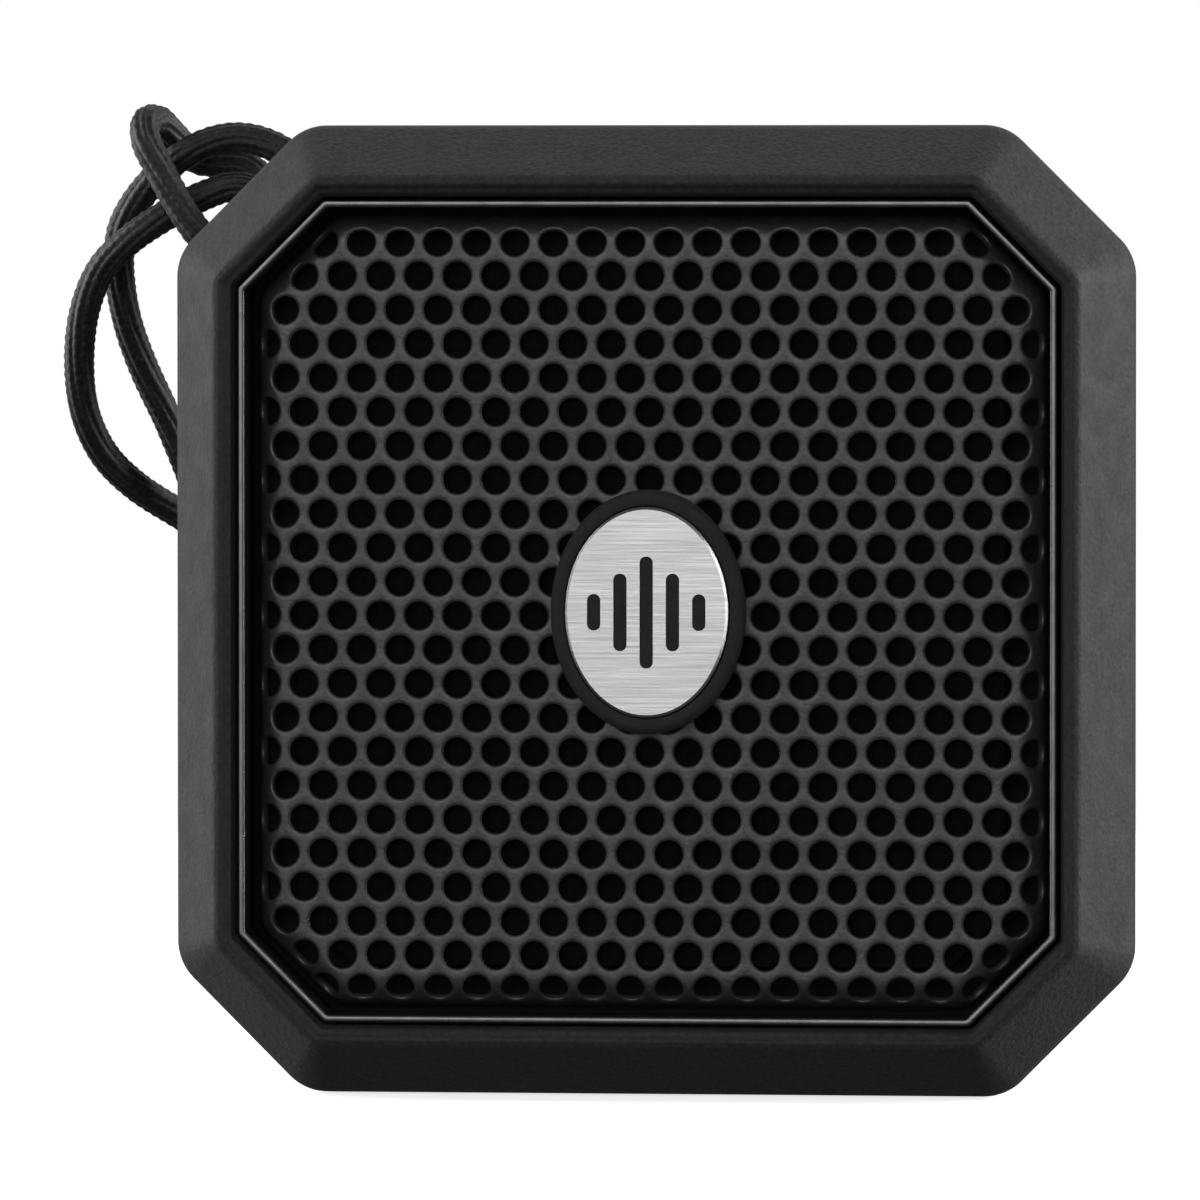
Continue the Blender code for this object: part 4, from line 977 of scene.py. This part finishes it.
def badge_face():
    """An oval of brushed metal with a bright bevelled edge and five sound bars cut in it."""
    low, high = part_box("badge_plate")
    front, back = low[1], high[1]
    face = loft("badge_face", [
        on_front(ellipse(*FACE_HALF), back),
        on_front(ellipse(*FACE_HALF), front + FACE_BEVEL),
        on_front(ellipse(*wider(FACE_HALF, -FACE_BEVEL)), front)], sharp=25)
    bars, inlays = [], []
    for i, half in enumerate(BAR_HALVES):
        centre = ((i - 2) * BAR_STEP, 0.0)
        shape = round_box(0.62 * MM, half * MM, 0.6 * MM, 8, centre)
        bars.append(prism(f"bar_{i}", shape, on_front, front - MM, front + 0.45 * MM))
        inner = round_box(0.60 * MM, (half - 0.02) * MM, 0.58 * MM, 8, centre)
        inlays.append(prism(f"inlay_{i}", inner, on_front, front + 0.18 * MM, front + 0.43 * MM))
    cut(face, *bars)
    metal = brushed("brushed_face", (0.60, 0.585, 0.57), (0.80, 0.785, 0.77), 0.26)
    dress(face, "housing", "badge_metal", metal, "badge_plate", even=25)
    for i, inlay in enumerate(inlays, 1):
        inlay.name = f"badge_bar_{i}"
        dress(inlay, "housing", "badge_surround", SMOOTH_RUBBER)


# ---- frames of the top deck and of the cut corner ----
def deck_lift(points, depth):
    """(x, y) points of the top deck, at a height over it."""
    return [DECK @ Vector((x, y, depth)) for x, y in points]


def corner_lift(points, depth):
    """(v, y) points of the cut corner, at a distance from the housing's middle."""
    return [CORNER @ Vector((v, y, depth)) for v, y in points]


def leaning_lift(points, depth):
    """The same, but leaning with the corner's draft, so that a depth follows its face."""
    return [CORNER @ Vector((v, y, depth - draft_at(y))) for v, y in points]


def box_outline(half_x, half_y, radius, centre=(0.0, 0.0), steps=6):
    """grow(extra) for a rounded rectangle."""
    def grow(extra):
        corner = max(radius + extra, 0.1 * MM)
        return round_box(half_x + extra, half_y + extra, corner, steps, centre)
    return grow


def round_outline(radius, centre=(0.0, 0.0), count=48):
    """grow(extra) for a circle."""
    def grow(extra):
        circle = ellipse(radius + extra, radius + extra, count)
        return [(x + centre[0], y + centre[1]) for x, y in circle]
    return grow


def plan_of(box, radius, steps=6):
    """Middle and grow(extra) of a CAD box seen from the front, round the housing's middle."""
    low, high = box
    centre = ((low[0] + high[0]) / 2, (low[2] + high[2]) / 2 - MID_Z)
    half_x, half_z = (high[0] - low[0]) / 2, (high[2] - low[2]) / 2
    return centre, box_outline(half_x, half_z, radius, centre, steps)


# ---- rear shell ----
def shell_loop(y, inset=0.0, pull=0.0):
    return on_front(outline(inset, 1.0, draft_at(y) + pull), y)


def rear_shell():
    front = SHELL_LOW[1]
    edge = BACK_Y - BACK_EDGE
    lip = 0.25 * MM
    loops = [shell_loop(y, WALL) for y in (BACK_Y - WALL, 4 * MM, front)]
    loops += [shell_loop(front + lip * out, lip * (1 - up)) for up, out in quarter(4)]
    loops += [shell_loop(y) for y in (-4 * MM, 4 * MM, 12 * MM, edge)]
    loops += [shell_loop(edge + BACK_EDGE * up, pull=BACK_EDGE * out)
              for up, out in quarter(10, 1)]
    shell = loft("rear_housing", loops)
    posts = []
    for i, (x, z) in enumerate(CASE_SCREWS):
        start, end = (x, POST_FRONT_Y, MID_Z + z), (x, BACK_Y - MM, MID_Z + z)
        posts.append(rod(f"post_{i}", POST_RADIUS, start, end))
    join(shell, *posts, pocket_walls())
    cut(shell, *screw_bores(), *deck_openings(), *port_openings(), *pocket())
    dress(shell, "housing", "housing_rubber", HOUSING, "rear_shell", even=32)


def screw_bores():
    radius, floor_y = COUNTERBORE
    for i, (x, z) in enumerate(CASE_SCREWS):
        bore = round_outline(radius, (x, z))
        yield opening(f"bore_{i}", bore, on_front, floor_y, BACK_Y, 0.35 * MM)
        yield rod(f"way_{i}", SCREW_WAY, (x, 0.0, MID_Z + z), (x, floor_y + MM, MID_Z + z), 32)


def deck_openings():
    recess = box_outline(*wider(PANEL_HALF, GAP), PANEL_CORNER + GAP)
    yield opening("panel_recess", recess, deck_lift, PANEL_TOP - PANEL_THICK - GAP, 0.0, 0.22 * MM)
    for key, grow, _ in deck_ways():
        yield prism("way_" + key, grow(0.0), deck_lift, *DECK_CUT)


def deck_ways():
    """Name, grow(extra) and edge of the holes for the buttons, the light and the microphone."""
    for key, x in button_places():
        yield key, box_outline(*wider(BUTTON_HALF, GAP), BUTTON_CORNER + GAP, (x, 0.0)), 0.15 * MM
    for key, x, radius in (("led", LED_X, LED_RADIUS + GAP), ("mic", 0.0, MIC_HOLE)):
        yield key, round_outline(radius, (x, 0.0), 32), 0.12 * MM


def port_openings():
    """The flap's recess with its thumb scoop, and the ways to the two ports."""
    middle_z = sum(RECESS_Z) / 2 - MID_Z
    recess = box_outline((RECESS_X[1] - RECESS_X[0]) / 2, (RECESS_Z[1] - RECESS_Z[0]) / 2,
                         1.2 * MM, (sum(RECESS_X) / 2, middle_z))
    yield opening("recess", recess, on_front, RECESS_FLOOR, BACK_Y, 0.3 * MM)
    thumb = round_outline(THUMB_RADIUS, (RECESS_X[1], middle_z))
    yield opening("thumb_scoop", thumb, on_front, BACK_Y - THUMB_DEPTH, BACK_Y, 0.5 * MM)
    x, z, radius = AUX_WAY
    aux = round_outline(radius, (x, z - MID_Z))
    x, z, half_x, half_z = USB_WAY
    usb = box_outline(half_x, half_z, 0.8 * MM, (x, z - MID_Z))
    for name, grow in (("aux_way", aux), ("usb_way", usb)):
        yield opening(name, grow, on_front, BACK_Y - 5 * MM, RECESS_FLOOR, 0.2 * MM)


def pocket_walls():
    margin = 1.6 * MM
    low_y, high_y = POCKET_LOW[1] - margin, BACK_Y - 1.5 * MM
    half_v = POCKET_HIGH[0] + margin
    plan = round_box(half_v, (high_y - low_y) / 2, 1.5 * MM, 6, (0.0, (low_y + high_y) / 2))
    return loft("pocket_walls", [corner_lift(plan, POCKET_LOW[2] - margin),
                                 leaning_lift(plan, CORNER_FACE - 1.3 * MM)])


def pocket():
    """The cut corner's pocket for the cord anchor, and the way that its pin goes in by."""
    half_v = (POCKET_HIGH[0] - POCKET_LOW[0]) / 2
    half_y = (POCKET_HIGH[1] - POCKET_LOW[1]) / 2
    grow = box_outline(half_v, half_y, 1.2 * MM, (0.0, (POCKET_LOW[1] + POCKET_HIGH[1]) / 2))
    yield prism("pocket_base", grow(0.0), corner_lift, POCKET_LOW[2], CORNER_FACE - 4 * MM)
    mouth_floor = CORNER_FACE - 2.5 * MM
    yield opening("pocket_mouth", grow, leaning_lift, mouth_floor, CORNER_FACE, 0.35 * MM)
    yield pin_way("pin_way", PIN_LOW_Y - GAP, BACK_Y + MM)


def pin_way(name, low_y, high_y):
    v, u = PIN_PLACE
    start, end = corner_lift([(v, low_y), (v, high_y)], u)
    return rod(name, PIN_RADIUS + GAP, start, end, 32)


def case_screws():
    """Round heads with a cross recess, deep in their bores."""
    head, shank = SCREW_HEAD, 1.2 * MM
    seat = COUNTERBORE[1] + GAP
    profile = [(0.0, -4.0 * MM), (0.6 * MM, -4.0 * MM), (shank, -2.5 * MM), (shank, seat),
               (head - 0.1 * MM, seat), (head, seat + 0.1 * MM), (head, seat + 0.7 * MM)]
    for step in range(1, 8):
        turn = pi / 2 * step / 7
        profile.append((head * cos(turn) if step < 7 else 0.0,
                        seat + 0.7 * MM + 1.0 * MM * sin(turn)))
    for i, (x, z) in enumerate(CASE_SCREWS, 1):
        screw = turned(f"screw_head_{i}", profile, (x, MID_Z + z), 48)
        cross = []
        for k, blade in enumerate(CROSS_BLADES):
            loops = []
            for half_x, half_z, y in blade:
                plan = round_box(half_x * MM, half_z * MM, 0.1 * MM, 3)
                loops.append([(x + px, seat + y * MM, MID_Z + z + pz) for px, pz in plan])
            cross.append(loft(f"cross_{i}_{k}", loops))
        cut(screw, *cross)
        dress(screw, "housing", "black_screw", BLACK_ZINC, f"case_screw_{i}", even=30)


# ---- top controls ----
def button_places():
    for i, key in enumerate(BUTTON_KEYS):
        yield key, (i - 1.5) * BUTTON_STEP


def control_panel():
    grow = box_outline(*PANEL_HALF, PANEL_CORNER, steps=8)
    panel = pad("control_plate", grow, deck_lift, PANEL_TOP - PANEL_THICK, PANEL_TOP, 0.2 * MM)
    low = PANEL_TOP - PANEL_THICK - MM
    cut(panel, *[opening("panel_" + key, way, deck_lift, low, PANEL_TOP, edge)
                 for key, way, edge in deck_ways()])
    dress(panel, "housing", "panel_plastic", PANEL_LOOK, "control_panel", even=30)
    pipe = pad("status_light", round_outline(LED_RADIUS, (LED_X, 0.0), 32), deck_lift,
               -4.5 * MM, PANEL_TOP + 0.1 * MM, 0.25 * MM)
    dress(pipe, "housing", "clear_plastic", CLEAR_LOOK, "status_led")


def buttons():
    """Soft caps with a round edge and a raised mark, each on its own sliding body."""
    for key, x in button_places():
        grow = box_outline(*BUTTON_HALF, BUTTON_CORNER, (x, 0.0), 8)
        cap = pad(f"{key}_cap", grow, deck_lift, -2.9 * MM, BUTTON_PROUD, 0.55 * MM, 0.12 * MM)
        flange = pad("flange", box_outline(5.6 * MM, 5.0 * MM, 1.0 * MM, (x, 0.0)), deck_lift,
                     -3.3 * MM, -2.5 * MM, 0.1 * MM)
        plunger = pad("plunger", round_outline(1.5 * MM, (x, 0.0)), deck_lift,
                      -3.0 * MM, -3.8 * MM, 0.2 * MM)
        join(cap, flange, plunger)
        dress(cap, f"{key}_button", "button_rubber", BUTTON_LOOK, f"button_{key}", even=40)
        mark = button_mark(key, x)
        dress(mark, f"{key}_button", "button_rubber", MARK_LOOK)


def button_mark(key, x):
    """A generic sign as a low round bead: a power sign, a minus, a triangle or a plus."""
    top = BUTTON_PROUD - 0.06 * MM

    def bar(name, points):
        line = [(x + px * MM, py * MM) for px, py in points]
        return bead(name, deck_lift(line, top), MARK_RADIUS)

    if key == "power":
        turns = np.linspace(radians(38), radians(322), 33)
        arc = [(1.45 * sin(turn), 1.45 * cos(turn) - 0.2) for turn in turns]
        upright = [(0.0, 0.3), (0.0, 1.0), (0.0, 1.75)]
        return merge(bar("power_mark", arc), bar("power_bar", upright))
    if key == "play":
        sides = [(-1.0, -1.45), (-1.0, 1.45), (1.55, 0.0), (-1.0, -1.45)]
        strokes = []
        for k, (a, b) in enumerate(zip(sides, sides[1:])):
            middle = ((a[0] + b[0]) / 2, (a[1] + b[1]) / 2)
            strokes.append(bar(f"play_side_{k}", [a, middle, b]))
        strokes[0].name = "play_mark"
        return merge(*strokes)
    level = bar(f"{key}_mark", [(-1.6, 0.0), (0.0, 0.0), (1.6, 0.0)])
    if key == "plus":
        merge(level, bar("plus_upright", [(0.0, -1.6), (0.0, 0.0), (0.0, 1.6)]))
    return level


# ---- port flap and ports ----
def port_flap():
    """The flap with its two plugs, its root, and the thin web at the hinge."""
    inner = FLAP_HIGH[1] - FLAP_THICK
    middle, grow = plan_of((FLAP_LOW, FLAP_HIGH), 1.0 * MM, 8)
    flap = pad("flap_cover", grow, on_front, inner, BACK_Y, 0.3 * MM, round_base=0.15 * MM)
    aux = round_outline(1.5 * MM, (AUX_WAY[0], AUX_WAY[1] - MID_Z))
    usb = box_outline(3.0 * MM, 0.7 * MM, 0.5 * MM, (USB_WAY[0], USB_WAY[1] - MID_Z))
    join(flap, pad("aux_plug", aux, on_front, inner + 0.5 * MM, FLAP_LOW[1], 0.35 * MM),
         pad("usb_plug", usb, on_front, inner + 0.5 * MM, inner - 0.9 * MM, 0.25 * MM))
    grip_x = FLAP_HIGH[0] - 2.4 * MM
    grooves = []
    for k in range(3):
        line = box_outline(0.32 * MM, 3.2 * MM, 0.3 * MM, (grip_x - k * 1.3 * MM, middle[1]))
        grooves.append(opening(f"grip_{k}", line, on_front, BACK_Y - 0.3 * MM, BACK_Y, 0.12 * MM))
    cut(flap, *grooves)
    dress(flap, "flap", "housing_rubber", FLAP_LOOK, "port_flap", even=40)

    _, grow = plan_of((ROOT_LOW, ROOT_HIGH), 1.0 * MM, 8)
    root = pad("flap_root", grow, on_front, inner, BACK_Y, 0.3 * MM)
    dress(root, "housing", "housing_rubber", FLAP_LOOK, "flap_anchor")

    low_z, high_z = FLAP_LOW[2] + WEB_OVERLAP, FLAP_HIGH[2] - WEB_OVERLAP
    near, far = BACK_Y - 0.75 * MM, BACK_Y - 0.25 * MM
    loops = []
    start_x = ROOT_HIGH[0] - WEB_OVERLAP
    run = FLAP_LOW[0] - ROOT_HIGH[0] + 2 * WEB_OVERLAP
    for step in range(WEB_STEPS + 1):
        x = start_x + run * step / WEB_STEPS
        loops.append([(x, near, low_z), (x, far, low_z), (x, far, high_z), (x, near, high_z)])
    web = loft("flap_web", loops)
    web.data.materials.append(FLAP_LOOK)
    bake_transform(web)


def audio_socket():
    low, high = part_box("aux_jack")
    mouth_y = high[1]
    centre, grow = plan_of((low, high), 0.5 * MM)
    body = pad("audio_socket", grow, on_front, low[1], mouth_y, 0.15 * MM)
    bore = round_outline(1.8 * MM, centre)
    cut(body, opening("socket_bore", bore, on_front, mouth_y - 10 * MM, mouth_y, 0.15 * MM))
    dress(body, "housing", "chip", CHIP_LOOK, "aux_jack", even=30)
    inner, outer = 1.62 * MM, 1.78 * MM
    deep, near = mouth_y - 9 * MM, mouth_y - 0.3 * MM
    liner = loft("socket_sleeve", [
        [(centre[0] + px, y, MID_Z + centre[1] + pz) for px, pz in ellipse(radius, radius, 48)]
        for radius, y in ((inner, deep), (outer, deep), (outer, near), (inner, near))], closed=True)
    dress(liner, "housing", "steel", STEEL_LOOK)


def charge_port():
    low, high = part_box("usb_port")
    mouth_y = high[1]
    centre, grow = plan_of((low, high), 0.5 * MM)
    case = pad("charge_port", grow, on_front, low[1], mouth_y, 0.08 * MM)
    mouth = box_outline(3.35 * MM, 0.85 * MM, 0.4 * MM, centre)
    cut(case, opening("port_mouth", mouth, on_front, mouth_y - 4.5 * MM, mouth_y, 0.12 * MM))
    dress(case, "housing", "steel", STEEL_LOOK, "usb_port", even=30)
    tongue = pad("port_tongue", box_outline(2.3 * MM, 0.3 * MM, 0.1 * MM, centre), on_front,
                 mouth_y - 5.0 * MM, mouth_y - 1.2 * MM, 0.1 * MM)
    dress(tongue, "housing", "chip", CHIP_LOOK)
    contacts = []
    for k in range(5):
        x = centre[0] + (k - 2) * 0.8 * MM
        z = MID_Z + centre[1] - 0.3 * MM
        contacts.append(box_between(
            f"contact_{k}", (x - 0.2 * MM, mouth_y - 4.4 * MM, z - 0.05 * MM),
            (x + 0.2 * MM, mouth_y - 1.5 * MM, z + 0.05 * MM)))
    contacts[0].name = "port_contacts"
    dress(merge(*contacts), "housing", "coil", COPPER_LOOK)


# ---- cord anchor ----
def cord_anchor():
    """The block in the corner's pocket that the cord goes into, and its pin."""
    low_y, high_y = ANCHOR_Y
    grow = box_outline(ANCHOR_HALF, (high_y - low_y) / 2, 1.0 * MM, (0.0, (low_y + high_y) / 2), 8)
    block = pad("cord_anchor", grow, corner_lift, *ANCHOR_U, 0.7 * MM)
    holes = [opening(f"cord_hole_{i}", round_outline(CORD_HOLE_RADIUS, centre), corner_lift,
                     CORD_HOLE_FLOOR, ANCHOR_U[1], 0.4 * MM) for i, centre in enumerate(CORD_HOLES)]
    cut(block, *holes, pin_way("anchor_way", 0.0, 30 * MM))
    dress(block, "housing", "inner_plastic", ANCHOR_LOOK, "lanyard_anchor", even=35)
    v, u = PIN_PLACE
    middle = CORNER @ Vector((v, 0.0, u))
    end = PIN_RADIUS - PIN_CHAMFER
    profile = [(0.0, PIN_LOW_Y), (end, PIN_LOW_Y), (PIN_RADIUS, PIN_LOW_Y + PIN_CHAMFER),
               (PIN_RADIUS, PIN_HIGH_Y - PIN_CHAMFER), (end, PIN_HIGH_Y), (0.0, PIN_HIGH_Y)]
    pin = turned("anchor_pin", profile, (middle.x, middle.z), 32)
    dress(pin, "housing", "steel", STEEL_LOOK, "lanyard_pin")


# ---- the inside ----
def inner_looks():
    """A procedural material for each slot whose CAD solids are shown as they are."""
    return {
        "cloth": woven(),
        "inner_plastic": moulded("inner_plastic", (0.010, 0.010, 0.011), (0.016, 0.016, 0.017)),
        "cone_paper": moulded("cone_paper", (0.012, 0.012, 0.013), (0.020, 0.020, 0.021), 0.75,
                              0.5 * MM),
        "coil": COPPER_LOOK,
        "spider_cloth": moulded("spider_cloth", (0.32, 0.15, 0.04), (0.42, 0.22, 0.07), 0.9,
                                0.25 * MM, 0.04 * MM),
        "steel": STEEL_LOOK,
        "black_screw": BLACK_ZINC,
        "ferrite": moulded("ferrite", (0.025, 0.025, 0.028), (0.05, 0.05, 0.055), 0.6,
                           0.3 * MM, 0.02 * MM),
        "board": moulded("solder_mask", (0.008, 0.075, 0.03), (0.012, 0.10, 0.04), 0.35),
        "chip": CHIP_LOOK,
        "cell_wrap": moulded("cell_wrap", (0.02, 0.07, 0.20), (0.03, 0.09, 0.25), 0.25),
        "seal_rubber": moulded("seal_rubber", (0.22, 0.02, 0.015), (0.28, 0.03, 0.02), 0.6),
        "lead_cover": moulded("lead_cover", (0.35, 0.01, 0.01), (0.42, 0.02, 0.015), 0.35),
        "button_rubber": BUTTON_LOOK,
        "panel_plastic": PANEL_LOOK,
    }


def dress_inside():
    looks = inner_looks()
    slots = {part["node"]: part["material_slot"] for part in frame["record"]["subparts"]}
    # painted shade: the baffle is coloured near black so that the holes round the grille's edge
    # read dark
    baffle_shade = moulded("baffle_painted_shade", (0.003, 0.003, 0.0032), (0.005, 0.005, 0.0053), 0.95,
                      0.3 * MM, 0.03 * MM)
    for name, node in frame["nodes"].items():
        if not node.hide_render:
            node.data.materials.clear()
            node.data.materials.append(baffle_shade if name == "baffle" else looks[slots[name]])


# ---- build ----
camera()
HOUSING = rubber("housing_rubber", (0.0195, 0.0215, 0.0245), (0.0365, 0.0395, 0.0445))
FLAP_LOOK = rubber("flap_rubber", (0.017, 0.0185, 0.021), (0.029, 0.031, 0.035),
                   grain=0.25 * MM, depth=0.03 * MM)
SMOOTH_RUBBER = rubber("smooth_rubber", (0.020, 0.020, 0.022), (0.026, 0.026, 0.028),
                       grain=0.12 * MM, depth=0.008 * MM)
BUTTON_LOOK = rubber("button_rubber", (0.026, 0.027, 0.029), (0.034, 0.035, 0.037),
                     grain=0.14 * MM, depth=0.012 * MM, roughness=0.55)
MARK_LOOK = moulded("mark_paint", (0.42, 0.43, 0.44), (0.50, 0.51, 0.52), 0.55, 0.1 * MM)
PANEL_LOOK = moulded("panel_plastic", (0.012, 0.012, 0.013), (0.018, 0.018, 0.020),
                     0.68, 0.15 * MM, 0.02 * MM)
ANCHOR_LOOK = moulded("anchor_plastic", (0.016, 0.016, 0.017), (0.024, 0.024, 0.026), 0.5, 0.2 * MM)
CLEAR_LOOK = moulded("light_pipe", (0.62, 0.66, 0.70), (0.70, 0.74, 0.78),
                     0.18, 0.2 * MM, 0.003 * MM)
STEEL_LOOK = moulded("zinc_steel", (0.50, 0.50, 0.51), (0.62, 0.62, 0.63),
                     0.32, 0.2 * MM, 0.004 * MM, 1.0)
BLACK_ZINC = moulded("black_zinc", (0.045, 0.045, 0.048), (0.08, 0.08, 0.085),
                     0.38, 0.15 * MM, 0.006 * MM, 1.0)
COPPER_LOOK = moulded("copper", (0.62, 0.36, 0.14), (0.75, 0.47, 0.20),
                      0.35, 0.2 * MM, 0.006 * MM, 1.0)
CHIP_LOOK = moulded("chip_plastic", (0.010, 0.010, 0.011), (0.018, 0.018, 0.019), 0.42, 0.2 * MM)
cord()
bezel()
trim()
grille()
badge()
rear_shell()
case_screws()
control_panel()
buttons()
port_flap()
audio_socket()
charge_port()
cord_anchor()
dress_inside()
studio()
floor()
